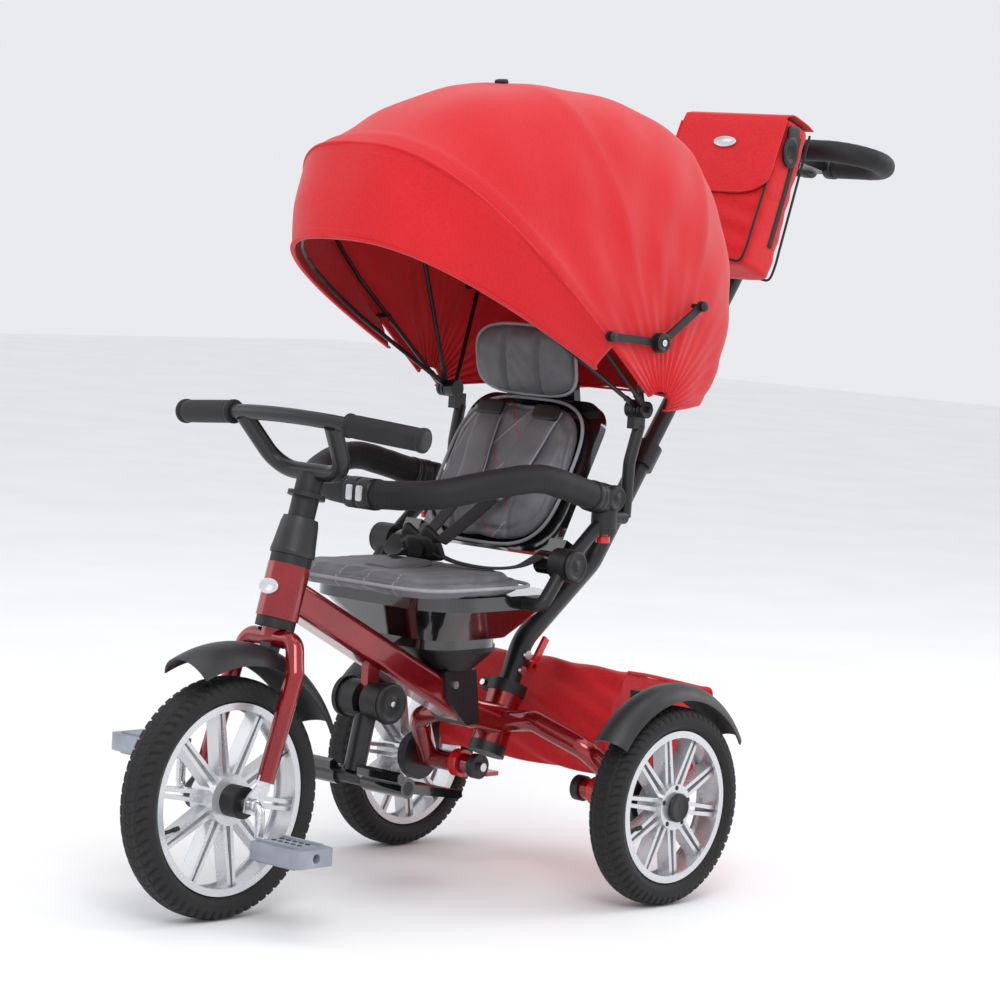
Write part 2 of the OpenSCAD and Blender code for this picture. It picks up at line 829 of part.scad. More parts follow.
module canopy_top() color("red") {
    difference() {
        fan(front_a + 0.1, rear_a - 0.1, 14);
        stay_pins(0.4);
    }
}

module visor() color("red") {
    difference() {
        fan(visor_a, front_a - 0.1, 4, 10);
        stay_pins(0.4);
    }
}

module visor_bow() color("dimgray") {
    bow(visor_a + 1.5, pin_x + 3.3, lug_len - 8);
    eye(pin_x + 1.3, visor_a + 1.5);
}

module mid_bow() color("dimgray") {
    bow(mid_a, pin_x + 9.6, lug_len - 8);
    eye(pin_x + 7.6, mid_a);
}

module canopy_bow() color("dimgray") {
    bow(front_a, pin_x + 15.9, lug_len - 8);
    eye(pin_x + 13.9, front_a);
    mirrored() across([hood_x - 12, stay_front[1], stay_front[2]])
        cylinder(r = 3, h = stay_x + eye_t + 11 - hood_x);
}

// One link of the side stay between two pins
module link(a, b, x, hub) {
    across([x, a[1], a[2]]) difference() {
        cylinder(r = 7, h = eye_t);
        translate([0, 0, -1]) cylinder(r = 3 + run_gap, h = 9);
    }
    across([x, b[1], b[2]]) cylinder(r = hub, h = eye_t);
    difference() {
        aim([x + eye_t / 2, a[1], a[2]], [x + eye_t / 2, b[1], b[2]])
            translate([-eye_t / 2, -5, 0]) cube([eye_t, 10, norm(b - a)]);
        across([x - 1, a[1], a[2]]) cylinder(r = 5, h = 9);
    }
}

module stays_front() color("black") {
    mirrored() link(stay_front, stay_mid, stay_x, 13);
}

module stays_rear() color("black") {
    mirrored() link(stay_rear, stay_mid, stay_x + eye_t + touch, 11);
}

// Back, headrest and harness

head_foot = [0, 14, 228];
module back_shell() color("black") {
    difference() {
        on_back() union() {
            translate([0, 20, 14]) rotate([90, 0, 0]) linear_extrude(12) {
                translate([0, back_len / 2 - 7]) rounded(2 * back_w, back_len - 14, 40);
                translate([0, 24]) rounded(2 * back_w, 48, 8);
            }
            translate(head_foot) rotate([back_lean + 10, 0, 0]) translate([0, 6, 40]) rotate([90, 0, 0])
                linear_extrude(12) rounded(120, 116, 20);
            mirrored() across([back_w - 4, 0, 0]) {
                cylinder(r = 15, h = hinge_in - touch - back_w + 4);
                translate([-34, 0, 0]) cube([20, 20, hinge_in - touch - back_w + 4]);
            }
        }
        across([-hinge_in, hinge[1], hinge[2]]) cylinder(r = 8 + run_gap, h = 2 * hinge_in);
    }
}

module back_pad() color("gray") {
    on_back() translate([0, 7.7, 14]) rotate([90, 0, 0]) linear_extrude(pad_t)
        translate([0, back_len / 2 - 12]) rounded(2 * back_w - 16, back_len - 24, 44);
}

module headrest() color("gray") {
    on_back() translate(head_foot) rotate([back_lean + 10, 0, 0]) translate([0, -6.3, 61])
        rotate([90, 0, 0]) linear_extrude(36) rounded(174, 92, 34);
}

strap_x = 42;
pad_face = 7.7 - pad_t - touch;
module harness() color("dimgray") {
    on_back() mirrored() {
        translate([strap_x - 19, pad_face - 10, 80]) cube([38, 10, 120]);
        translate([strap_x - 12, pad_face - 3, 56]) cube([24, 3, 24]);
    }
    a = hinge + [strap_x, 0, 0] + 60 * [0, sin(back_lean), cos(back_lean)] + [0, pad_face - 4.5, 0];
    mirrored() aim(a, buckle + [14, 9, 12]) translate([-11, -1.5, 0]) cube([22, 3, norm(buckle + [14, 9, 12] - a)]);
    difference() {
        translate(buckle) rotate([20, 0, 0]) translate([-24, -8, -14]) cube([48, 16, 34]);
        translate(buckle) rotate([20, 0, 0]) translate([0, -2, 3]) rotate([90, 0, 0])
            cylinder(r = 10 + touch, h = 20);
    }
}

module buckle_button() color("black") {
    translate(buckle) rotate([20, 0, 0]) translate([0, -5.5, 3]) rotate([90, 0, 0]) cylinder(r = 10, h = 5);
}

// Bumper bar halves and their release buttons

bumper_pts = [[arm_x, 223, 524], [160, 196, 526], [161, 84, 552], [116, -40, 530], [30, -62, 520], [touch / 2, -62, 520]];
module bumper() {
    difference() {
        tube(bumper_pts, foam_d / 2, 22);
        translate([housing[0], housing[1], 480]) cylinder(r = 17 + touch, h = 33);
        translate([-40 + touch / 2, -100, 480]) cube([40, 80, 80]);
    }
    translate([housing[0], housing[1], 511.8]) cylinder(r = 17, h = 26);
    translate([housing[0], housing[1], 490]) cylinder(r = 6, h = 24);
}

module bumper_left() color("black") {
    bumper();
}

module bumper_right() color("black") {
    mirror([1, 0, 0]) bumper();
}

module release() {
    translate([housing[0], housing[1], 466]) cylinder(r = 9, h = 8);
    translate([housing[0], housing[1], 473]) cylinder(r = 5.6, h = 13);
}

module release_left() color("red") {
    release();
}

module release_right() color("red") {
    mirror([1, 0, 0]) release();
}

// Telescopic tube, ring handle and bag

ring_mid = push_top + [0, 12, 6];
ring_tilt = -11;
module ring_frame() {
    translate(ring_mid) rotate([ring_tilt, 0, 0]) children();
}

module oval(r) {
    straight = ring_w - ring_r;
    mirrored() translate([straight, 0, 0]) rotate(-90) rotate_extrude(angle = 180) translate([ring_r, 0]) circle(r = r);
    for (y = [-ring_r, ring_r]) across([-straight, y, 0]) cylinder(r = r, h = 2 * straight);
}

module push_tube() color("dimgray") {
    rod(push_knee + 30 * push_dir, push_top, upper_d / 2);
    ring_frame() {
        oval(9.8);
        translate([-18, -ring_r, -9]) cube([36, 2 * ring_r, 18]);
    }
}

foam_gap = 19;
module handle_foam() color("black") {
    ring_frame() difference() {
        oval(ring_foam / 2);
        oval(10);
        translate([-foam_gap, -ring_r - 40, -30]) cube([2 * foam_gap, 2 * ring_r + 80, 60]);
    }
}

bag_w = 88;
bag_side = [[636, 1034], [697, 1020], [626, 822], [556, 822], [546, 840]];
module bag() color("red") {
    translate([-bag_w, 0, 0]) rotate([90, 0, 90]) linear_extrude(2 * bag_w) polygon(bag_side);
    mirrored() difference() {
        union() {
            ring_frame() across([50, -ring_r, 0]) cylinder(r = ring_foam / 2 + 3, h = 18);
            translate([53, 680, 985]) cube([12, 35, 8]);
        }
        ring_frame() oval(ring_foam / 2 + touch);
    }
}

main_frame();
rear_arms();
stub_axles();
brake_drums();
headset_cups();
boss_clamp();
rear_fenders();
basket();
seat_bracket();
frame_bolts();
push_post();
fork();
dropouts();
front_fender();
headset_cover();
stem();
handlebar();
grips();
front_tyre();
front_rim();
hub_caps();
crank_axle();
pedal_left();
pedal_right();
rear_tyre_left();
rear_tyre_right();
rear_rim_left();
rear_rim_right();
brake_left();
brake_right();
footrest_drum();
footrest_tube();
foot_plates();
turntable();
seat_shell();
seat_pad();
side_arms();
canopy_posts();
canopy_rear();
back_shell();
back_pad();
headrest();
harness();
buckle_button();
bumper_left();
bumper_right();
release_left();
release_right();
mid_bow();
canopy_bow();
canopy_top();
visor_bow();
visor();
stays_front();
stays_rear();
push_tube();
handle_foam();
bag();
clamp_lever();
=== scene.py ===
import bpy
import numpy as np
from math import cos, pi, radians, sin
from mathutils import Matrix


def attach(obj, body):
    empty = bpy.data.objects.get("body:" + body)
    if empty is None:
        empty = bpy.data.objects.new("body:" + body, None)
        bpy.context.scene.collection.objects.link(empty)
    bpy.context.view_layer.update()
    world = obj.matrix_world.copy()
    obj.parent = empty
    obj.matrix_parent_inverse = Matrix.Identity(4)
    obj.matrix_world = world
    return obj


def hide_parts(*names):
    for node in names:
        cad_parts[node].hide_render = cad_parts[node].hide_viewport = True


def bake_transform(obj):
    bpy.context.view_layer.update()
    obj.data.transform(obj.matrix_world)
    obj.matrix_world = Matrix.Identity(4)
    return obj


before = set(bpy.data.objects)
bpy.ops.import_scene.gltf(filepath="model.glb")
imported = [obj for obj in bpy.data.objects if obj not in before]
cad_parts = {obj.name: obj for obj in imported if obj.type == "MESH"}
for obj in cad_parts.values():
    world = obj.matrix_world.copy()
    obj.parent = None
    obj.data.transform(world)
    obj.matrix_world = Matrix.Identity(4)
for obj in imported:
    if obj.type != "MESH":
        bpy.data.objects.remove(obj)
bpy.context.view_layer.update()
mm = 0.001

# Camera: it stands ahead and to the rider's left, a little above the middle, with a slight roll
cameraSet = dict(target=(0.0298, 0.1602, 0.5097), distance=4.6175, azimuth=41.93, elevation=4.82, roll=3.55,
                 lens=127.6)


def placeCamera(c):
    # The back axis points from the target to the lens; roll turns the other two axes about it
    az, el, roll = radians(c["azimuth"]), radians(c["elevation"]), radians(c["roll"])
    back = np.array([sin(az) * cos(el), -cos(az) * cos(el), sin(el)])
    side = np.cross([0, 0, 1], back)
    side = side / np.linalg.norm(side)
    up = np.cross(back, side)
    right = side * cos(roll) + up * sin(roll)
    top = up * cos(roll) - side * sin(roll)
    place = np.array(c["target"]) + back * c["distance"]
    data = bpy.data.cameras.new("camera")
    data.lens = c["lens"]
    data.sensor_width = 36
    data.clip_end = 50
    camera = bpy.data.objects.new("camera", data)
    bpy.context.scene.collection.objects.link(camera)
    rows = zip(np.column_stack([right, top, back]), place)
    camera.matrix_world = Matrix([[*row, p] for row, p in rows] + [[0, 0, 0, 1]])
    bpy.context.scene.camera = camera


placeCamera(cameraSet)

# Shader writing


class Wire:
    # A socket that takes part in sums; each operator adds one Math node
    def __init__(self, ink, socket):
        self.ink = ink
        self.socket = socket

    def sum(self, operation, *others):
        return self.ink.node("ShaderNodeMath", dict(operation=operation), dict(enumerate((self, *others))))

    def __add__(self, other): return self.sum("ADD", other)
    def __radd__(self, other): return self.sum("ADD", other)
    def __sub__(self, other): return self.sum("SUBTRACT", other)
    def __rsub__(self, other): return self.ink.node("ShaderNodeMath", dict(operation="SUBTRACT"), {0: other, 1: self})
    def __mul__(self, other): return self.sum("MULTIPLY", other)
    def __rmul__(self, other): return self.sum("MULTIPLY", other)
    def __truediv__(self, other): return self.sum("DIVIDE", other)
    def __pow__(self, other): return self.sum("POWER", other)

    def wave(self): return self.sum("SINE")
    def size(self): return self.sum("ABSOLUTE")
    def part(self): return self.sum("FRACT")
    def least(self, other): return self.sum("MINIMUM", other)
    def most(self, other): return self.sum("MAXIMUM", other)
    def below(self, other): return self.sum("LESS_THAN", other)

    def ramp(self, low, high, toLow=0.0, toHigh=1.0):
        # Runs smoothly from toLow to toHigh as the value goes from low to high
        return self.ink.node("ShaderNodeMapRange", dict(interpolation_type="SMOOTHSTEP"),
                             {0: self, 1: low, 2: high, 3: toLow, 4: toHigh})


class Ink:
    # One material's tree: node() adds any node, with settings first and then socket values or links
    def __init__(self, name, **constants):
        self.material = bpy.data.materials.new(name)
        self.material.use_nodes = True
        self.tree = self.material.node_tree
        self.tree.nodes.clear()
        out = self.tree.nodes.new("ShaderNodeOutputMaterial")
        self.shader = self.tree.nodes.new("ShaderNodeBsdfPrincipled")
        self.tree.links.new(self.shader.outputs[0], out.inputs[0])
        for socket, value in constants.items():
            self.shader.inputs[socket.replace("_", " ")].default_value = value

    def node(self, kind, settings=None, values=None, output=0):
        made = self.tree.nodes.new(kind)
        for key, value in (settings or {}).items():
            setattr(made, key, value)
        for key, value in (values or {}).items():
            if isinstance(value, Wire):
                self.tree.links.new(value.socket, made.inputs[key])
            else:
                made.inputs[key].default_value = value
        return Wire(self, made.outputs[output])

    def coords(self, uv=False):
        return self.node("ShaderNodeTexCoord", output=2 if uv else 3)

    def axes(self, uv=False):
        split = self.node("ShaderNodeSeparateXYZ", values={0: self.coords(uv)})
        return [Wire(self, split.socket.node.outputs[i]) for i in range(3)]

    def noise(self, scale, detail=3.0, rough=0.55, vector=None, stretch=None):
        at = vector or self.coords()
        if stretch:
            at = self.node("ShaderNodeVectorMath", dict(operation="MULTIPLY"), {0: at, 1: stretch})
        return self.node("ShaderNodeTexNoise", values={"Vector": at, "Scale": scale, "Detail": detail, "Roughness": rough})

    def blend(self, factor, first, second):
        # A colour that goes from first to second with the factor
        made = self.tree.nodes.new("ShaderNodeMix")
        made.data_type = "RGBA"
        for key, value in ((0, factor), (6, first), (7, second)):
            if isinstance(value, Wire):
                self.tree.links.new(value.socket, made.inputs[key])
            else:
                made.inputs[key].default_value = value if key == 0 else (*value, 1) if len(value) == 3 else value
        return Wire(self, made.outputs[2])

    def wear(self, **links):
        for socket, value in links.items():
            self.tree.links.new(value.socket, self.shader.inputs[socket.replace("_", " ")])
        return self.material

    def relief(self, height, strength, distance):
        return self.node("ShaderNodeBump", values={"Strength": strength, "Distance": distance, "Height": height})


def paintedMetal(name, colour, dark, flake, rough, coat):
    # Lacquer over metal: fine flakes vary the colour a little, and the coat carries an orange-peel ripple
    ink = Ink(name, Metallic=0.55 if flake else 0.15, Coat_Weight=coat, Coat_Roughness=0.06, IOR=1.5)
    speck = ink.noise(900 if flake else 500, 2.0, 0.6)
    broad = ink.noise(9, 3.0)
    shade = ink.blend(speck.ramp(0.35, 0.7) * 0.5 + broad.ramp(0.3, 0.7) * 0.35, colour, dark)
    scuff = ink.noise(40, 5.0, 0.7).ramp(0.5, 0.75, 0.0, 0.10)
    peel = ink.noise(160, 2.0)
    return ink.wear(Base_Color=shade, Roughness=scuff + rough, Normal=ink.relief(peel, 0.05, 0.0006))


def mouldedPlastic(name, colour, rough, grain, depth, coat=0.0):
    # Moulded plastic: a leathery grain, faint flow marks in the colour and handling wear in the gloss
    ink = Ink(name, Coat_Weight=coat, Coat_Roughness=0.05, IOR=1.48)
    flow = ink.noise(14, 3.0)
    lighter = tuple(min(1.0, c * 1.5 + 0.004) for c in colour)
    cell = ink.node("ShaderNodeTexVoronoi", values={"Vector": ink.coords(), "Scale": grain})
    wearMark = ink.noise(30, 5.0, 0.65).ramp(0.45, 0.75, 0.0, 0.12)
    return ink.wear(Base_Color=ink.blend(flow.ramp(0.3, 0.75), colour, lighter), Roughness=wearMark + rough,
                    Normal=ink.relief(cell.ramp(0.0, 0.6) + ink.noise(grain * 1.7, 2.0) * 0.4, depth, 0.0004))


def brightMetal(name, colour, rough):
    # Zinc plate: spangled colour, short brushed scratches and duller patches
    ink = Ink(name, Metallic=1.0, IOR=1.45)
    spangle = ink.node("ShaderNodeTexVoronoi", values={"Vector": ink.coords(), "Scale": 240.0})
    scratch = ink.noise(60, 4.0, 0.6, stretch=(18.0, 1.0, 1.0))
    deep = tuple(c * 0.72 for c in colour)
    return ink.wear(Base_Color=ink.blend(spangle.ramp(0.0, 0.9) * 0.6, colour, deep),
                    Roughness=scratch.ramp(0.3, 0.8, 0.0, 0.2) + rough, Normal=ink.relief(scratch, 0.08, 0.0003))


def rubber(name, colour, rough, pores):
    # Tyre rubber or closed foam: pores, dust lying in them and a mottled sheen
    ink = Ink(name, IOR=1.45, Sheen_Weight=0.03, Sheen_Roughness=0.5)
    pore = ink.noise(pores, 3.0, 0.7)
    dust = ink.noise(11, 5.0, 0.6).ramp(0.5, 0.8, 0.0, 0.35)
    dusty = tuple(c * 2.2 + 0.01 for c in colour)
    return ink.wear(Base_Color=ink.blend(dust + pore.ramp(0.55, 0.8) * 0.15, colour, dusty),
                    Roughness=pore.ramp(0.3, 0.7, -0.08, 0.08) + rough, Normal=ink.relief(pore, 0.22, 0.0005))


def wovenCloth(name, colour, dark, light, pitch, uv, seams=(), stitch=0.0045, thread=(0.5, 0.02, 0.03), sheen=0.2):
    # Plain weave: warp and weft waves cross, slubs thicken single yarns, and stitches run beside each seam
    ink = Ink(name, IOR=1.4, Sheen_Weight=sheen, Sheen_Roughness=0.45)
    x, y, z = ink.axes(uv)
    if uv:
        along, over = x, y
    else:
        along, over = x + y * 0.35, z + y * 0.6
    warp = (along * (2 * pi / pitch)).wave()
    weft = (over * (2 * pi / pitch)).wave()
    weave = warp * weft * 0.5 + (warp.size() + weft.size()) * 0.25
    at = ink.coords(uv)
    slubA = ink.noise(130, 3.0, 0.6, vector=at, stretch=(1.0, 9.0, 1.0))
    slubB = ink.noise(130, 3.0, 0.6, vector=at, stretch=(9.0, 1.0, 1.0))
    slub = slubA.ramp(0.42, 0.7) * 0.5 + slubB.ramp(0.42, 0.7) * 0.5
    fade = ink.noise(7, 3.0, vector=at)
    tone = ink.blend(slub * 0.55 + weave * 0.22, colour, dark)
    tone = ink.blend(fade.ramp(0.45, 0.8) * 0.3, tone, light)
    height = weave * 0.5 + slub * 0.9
    if seams:
        dash = ((along * (1 / stitch)).part() - 0.5).size().ramp(0.26, 0.34, 1.0, 0.0)
        rows = None
        for line in seams:
            one = (over - line).size().ramp(0.0004, 0.0009, 1.0, 0.0)
            rows = one if rows is None else rows.most(one)
        thick = dash * rows
        tone = ink.blend(thick * 0.8, tone, thread)
        height = height + thick * 3.0 - rows * 1.5
    return ink.wear(Base_Color=tone, Roughness=slub * 0.1 + 0.72, Normal=ink.relief(height, 0.35, 0.0005))


def quiltedSatin(name, colour, light, quilt, stripes, lines, swing):
    # Grey satin with a fine twill, soft mottling and, where quilt is set, slanting sewn lines in two colours
    ink = Ink(name, IOR=1.45, Sheen_Weight=0.12, Sheen_Roughness=0.35)
    x, y, z = ink.axes()
    twill = ((x + z + y * 0.5) * (2 * pi / 0.0016)).wave()
    mottle = ink.noise(22, 4.0, 0.6)
    fibre = ink.noise(420, 2.0, 0.6)
    tone = ink.blend(mottle.ramp(0.35, 0.7) * 0.6 + fibre * 0.15, colour, light)
    height = twill * 0.25 + fibre * 0.5
    if quilt:
        for sign, thread in zip((1, -1), lines):
            slant = ((x * sign + z * swing) * (1 / stripes)).part() - 0.5
            stripe = slant.size().ramp(0.012, 0.03, 1.0, 0.0)
            inside = x.size().ramp(quilt - 0.004, quilt, 1.0, 0.0)
            dash = ((z * 260).part() - 0.5).size().ramp(0.3, 0.38, 1.0, 0.25)
            mark = stripe * inside * dash
            tone = ink.blend(mark * 0.85, tone, thread)
            height = height - stripe * inside * 2.2
    return ink.wear(Base_Color=tone, Roughness=mottle.ramp(0.3, 0.7, 0.42, 0.56), Normal=ink.relief(height, 0.3, 0.0005))


def webbing(name, colour, light):
    # Strap web: ribs across the strap and a paler selvage fleck
    ink = Ink(name, IOR=1.45, Sheen_Weight=0.08)
    x, y, z = ink.axes()
    rib = ((z + y) * (2 * pi / 0.0018)).wave()
    cross = (x * (2 * pi / 0.0024)).wave()
    fleck = ink.noise(500, 2.0)
    return ink.wear(Base_Color=ink.blend(fleck.ramp(0.45, 0.75) * 0.6 + rib * cross * 0.15, colour, light),
                    Roughness=fleck * 0.15 + 0.6, Normal=ink.relief(rib + cross * 0.5, 0.3, 0.0004))


redWeave = dict(colour=(0.62, 0.006, 0.012), dark=(0.36, 0.002, 0.005), light=(0.74, 0.02, 0.028), pitch=0.0022)
paint = dict(
    frameRed=paintedMetal("frameRed", (0.34, 0.004, 0.008), (0.13, 0.001, 0.003), True, 0.22, 1.0),
    tubeGrey=paintedMetal("tubeGrey", (0.012, 0.012, 0.014), (0.007, 0.007, 0.008), False, 0.38, 0.15),
    zinc=brightMetal("zinc", (0.72, 0.73, 0.75), 0.22),
    wheelSilver=paintedMetal("wheelSilver", (0.66, 0.67, 0.69), (0.54, 0.55, 0.57), True, 0.24, 0.6),
    satinBlack=mouldedPlastic("satinBlack", (0.0045, 0.0045, 0.005), 0.44, 900, 0.18),
    fenderGrey=mouldedPlastic("fenderGrey", (0.014, 0.014, 0.016), 0.42, 700, 0.12),
    glossBlack=mouldedPlastic("glossBlack", (0.003, 0.003, 0.0035), 0.10, 300, 0.02, 1.0),
    paleGrey=mouldedPlastic("paleGrey", (0.23, 0.25, 0.29), 0.45, 600, 0.15),
    buttonRed=mouldedPlastic("buttonRed", (0.55, 0.008, 0.012), 0.26, 500, 0.05, 0.5),
    tyreBlack=rubber("tyreBlack", (0.007, 0.007, 0.0075), 0.70, 900),
    foamBlack=rubber("foamBlack", (0.006, 0.006, 0.007), 0.66, 1500),
    clothRed=wovenCloth("clothRed", **redWeave, uv=False),
    webBlack=webbing("webBlack", (0.006, 0.006, 0.007), (0.025, 0.025, 0.027)),
)

dress = dict(
    frameRed=["main_frame", "rear_arms", "fork"],
    tubeGrey=["seat_bracket", "push_post", "handlebar", "footrest_tube", "canopy_posts", "mid_bow", "canopy_bow",
              "visor_bow", "push_tube"],
    zinc=["stub_axles", "frame_bolts", "dropouts", "crank_axle"],
    wheelSilver=["front_rim", "rear_rim_left", "rear_rim_right"],
    satinBlack=["headset_cups", "boss_clamp", "stem", "hub_caps", "footrest_drum", "turntable", "side_arms",
                "buckle_button", "stays_front", "stays_rear"],
    fenderGrey=["brake_drums", "rear_fenders", "front_fender", "headset_cover"],
    glossBlack=["foot_plates", "seat_shell", "back_shell"],
    paleGrey=["pedal_left", "pedal_right"],
    buttonRed=["brake_left", "brake_right", "release_left", "release_right", "clamp_lever"],
    tyreBlack=["front_tyre", "rear_tyre_left", "rear_tyre_right"],
    foamBlack=["grips", "handle_foam", "bumper_left", "bumper_right"],
    clothRed=["basket", "bag", "canopy_rear", "canopy_top", "visor"],
    webBlack=["harness", "seat_pad", "back_pad", "headrest"],
)
for finish, nodes in dress.items():
    for node in nodes:
        for slot in bpy.data.objects[node].material_slots:
            slot.material = paint[finish]
print("materials ready")

# Surfaces from arrays


def makePiece(name, points, faces, material, uv=None, smooth=True):
    # A mesh from an array of points and an array of faces, shaded smooth
    mesh = bpy.data.meshes.new(name)
    mesh.from_pydata(points.reshape(-1, 3).tolist(), [], faces)
    if uv is not None:
        loops = np.empty(len(mesh.loops), dtype=np.int64)
        mesh.loops.foreach_get("vertex_index", loops)
        layer = mesh.uv_layers.new(name="flat")
        layer.data.foreach_set("uv", uv.reshape(-1, 2)[loops].ravel())
    mesh.polygons.foreach_set("use_smooth", np.full(len(mesh.polygons), smooth))
    mesh.update()
    piece = bpy.data.objects.new(name, mesh)
    bpy.context.scene.collection.objects.link(piece)
    mesh.materials.append(material)
    return piece


def gridFaces(rows, cols, loopRows=False, loopCols=False):
    # Each point joins the next one along and the next one across
    i = np.arange(rows if loopRows else rows - 1)[:, None]
    j = np.arange(cols if loopCols else cols - 1)[None, :]
    a = i * cols + j
    b = i * cols + (j + 1) % cols
    c = ((i + 1) % rows) * cols + (j + 1) % cols
    d = ((i + 1) % rows) * cols + j
    return np.stack(np.broadcast_arrays(a, b, c, d), -1).reshape(-1, 4)


def gridPiece(name, points, material, loopRows=False, loopCols=False, caps=False, flip=False, uv=None, smooth=True):
    rows, cols = points.shape[:2]
    faces = gridFaces(rows, cols, loopRows, loopCols)
    if flip:
        faces = faces[:, ::-1]
    faces = faces.tolist()
    if caps:
        first, last = list(range(cols)), list(range((rows - 1) * cols, rows * cols))
        faces += [first if flip else first[::-1], last[::-1] if flip else last]
    return makePiece(name, points, faces, material, uv, smooth)


def curveThrough(points, count, closed=False):
    # A Catmull-Rom curve: each stretch is the cubic that leaves and reaches its ends along their neighbours' chord
    p = np.asarray(points, float)
    n = len(p)
    t = np.linspace(0, n if closed else n - 1, count, endpoint=not closed)
    i = np.minimum(t.astype(int), n - 1 if closed else n - 2)
    f = (t - i)[:, None]
    pick = (lambda k: p[k % n]) if closed else (lambda k: p[np.clip(k, 0, n - 1)])
    a, b, c, d = pick(i - 1), pick(i), pick(i + 1), pick(i + 2)
    return 0.5 * (2 * b + (c - a) * f + (2 * a - 5 * b + 4 * c - d) * f ** 2 + (3 * b - 3 * c + d - a) * f ** 3)


def sweep(name, path, profile, material, up=(0, 0, 1), closed=False, grow=None):
    # A profile (across, upward) carried along a path; grow scales it at each step of the path
    path = np.asarray(path, float)
    if closed:
        tangent = np.roll(path, -1, 0) - np.roll(path, 1, 0)
    else:
        tangent = np.gradient(path, axis=0)
    tangent /= np.linalg.norm(tangent, axis=1)[:, None]
    side = np.cross(tangent, np.broadcast_to(np.asarray(up, float), tangent.shape))
    side /= np.linalg.norm(side, axis=1)[:, None]
    top = np.cross(side, tangent)
    shape = np.asarray(profile, float)[None] * (1 if grow is None else np.asarray(grow)[:, None, None])
    points = path[:, None] + side[:, None] * shape[..., :1] + top[:, None] * shape[..., 1:]
    return gridPiece(name, points, material, loopRows=closed, loopCols=True, caps=not closed)


def roundProfile(width, height, power=2.0, count=24):
    # A superellipse: |x/w|^p + |y/h|^p = 1
    t = np.linspace(0, 2 * pi, count, endpoint=False)
    c, s = np.cos(t), np.sin(t)
    x = width / 2 * np.sign(c) * np.abs(c) ** (2 / power)
    y = height / 2 * np.sign(s) * np.abs(s) ** (2 / power)
    return np.stack([x, y], 1)


def finish(piece, thickness=0.0, bevel=0.0, smooth=0, offset=-1.0):
    if thickness:
        wall = piece.modifiers.new("wall", "SOLIDIFY")
        wall.thickness = thickness
        wall.offset = offset
    if bevel:
        edge = piece.modifiers.new("edge", "BEVEL")
        edge.width = bevel
        edge.segments = 3
        edge.limit_method = "ANGLE"
        edge.angle_limit = radians(35)
    if smooth:
        soft = piece.modifiers.new("soft", "SUBSURF")
        soft.levels = soft.render_levels = smooth
    return piece


def place(piece, matrix):
    piece.data.transform(Matrix(matrix.tolist() if hasattr(matrix, "tolist") else matrix))
    return piece


def turned(angle, origin):
    # Turn about X by the angle, then move to the origin
    a = radians(angle)
    x, y, z = origin
    return np.array([[1, 0, 0, x], [0, cos(a), -sin(a), y], [0, sin(a), cos(a), z], [0, 0, 0, 1.0]])


def through(matrix, points):
    return np.asarray(points, float) @ matrix[:3, :3].T + matrix[:3, 3]


def vertices(piece):
    co = np.empty(len(piece.data.vertices) * 3)
    piece.data.vertices.foreach_get("co", co)
    return co.reshape(-1, 3)


def turnOut(piece):
    # A closed skin encloses a positive volume when its faces look outward; otherwise they are turned over
    mesh = piece.data
    if len(mesh.loops) != 2 * len(mesh.edges):
        return
    mesh.calc_loop_triangles()
    corners = np.empty(len(mesh.loop_triangles) * 3, dtype=np.int64)
    mesh.loop_triangles.foreach_get("vertices", corners)
    a, b, c = vertices(piece)[corners.reshape(-1, 3)].transpose(1, 0, 2)
    if np.sum(a * np.cross(b, c)) < 0:
        mesh.flip_normals()


def settled(piece, slot, body, *nodes):
    turnOut(piece)
    if nodes:
        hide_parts(*nodes)
    if body:
        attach(piece, body)
    return piece


# Folding canopy: arches turn about the pivot, and each arch is a superellipse of half width w and height h
canopySet = dict(pivot=(0.264, 0.640), width=0.203, power=2.8, visorLow=26, front=40, mid=74, rear=113, hem=176,
                 angles=[26, 33, 40, 48, 57, 66, 74, 84, 94, 104, 113, 129, 145, 160, 176],
                 heights=[454, 476, 494, 470, 452, 436, 424, 411, 403, 398, 392, 348, 290, 228, 165],
                 wall=0.0016, columns=150, foldHalf=0.19, foldLine=76.5)


def canopyShape(a, t, inset=0.0):
    # Point at fan angle a and arch parameter t, both in degrees, an inset in from the cloth
    c = canopySet
    wide = c["width"] - 0.018 * np.clip(c["front"] - a, 0, 14) / 14
    tall = np.interp(a, c["angles"], c["heights"]) * mm
    ct, st = np.cos(np.radians(t)), np.sin(np.radians(t))
    x = (wide - inset) * np.sign(ct) * np.abs(ct) ** (2 / c["power"])
    q = (tall - inset) * np.abs(st) ** (2 / c["power"])
    ar = np.radians(a)
    return np.stack(np.broadcast_arrays(x, c["pivot"][0] - q * np.cos(ar), c["pivot"][1] + q * np.sin(ar)), -1), q


def archSteps(low, high, count):
    # Steps of t that are even in arc length along a middle arch
    t = np.linspace(low, high, 2000)
    p, q = canopyShape(74.0, t)
    run = np.concatenate([[0], np.cumsum(np.linalg.norm(np.diff(p, axis=0), axis=1))])
    return np.interp(np.linspace(0, run[-1], count), run, t), np.linspace(0, run[-1], count)


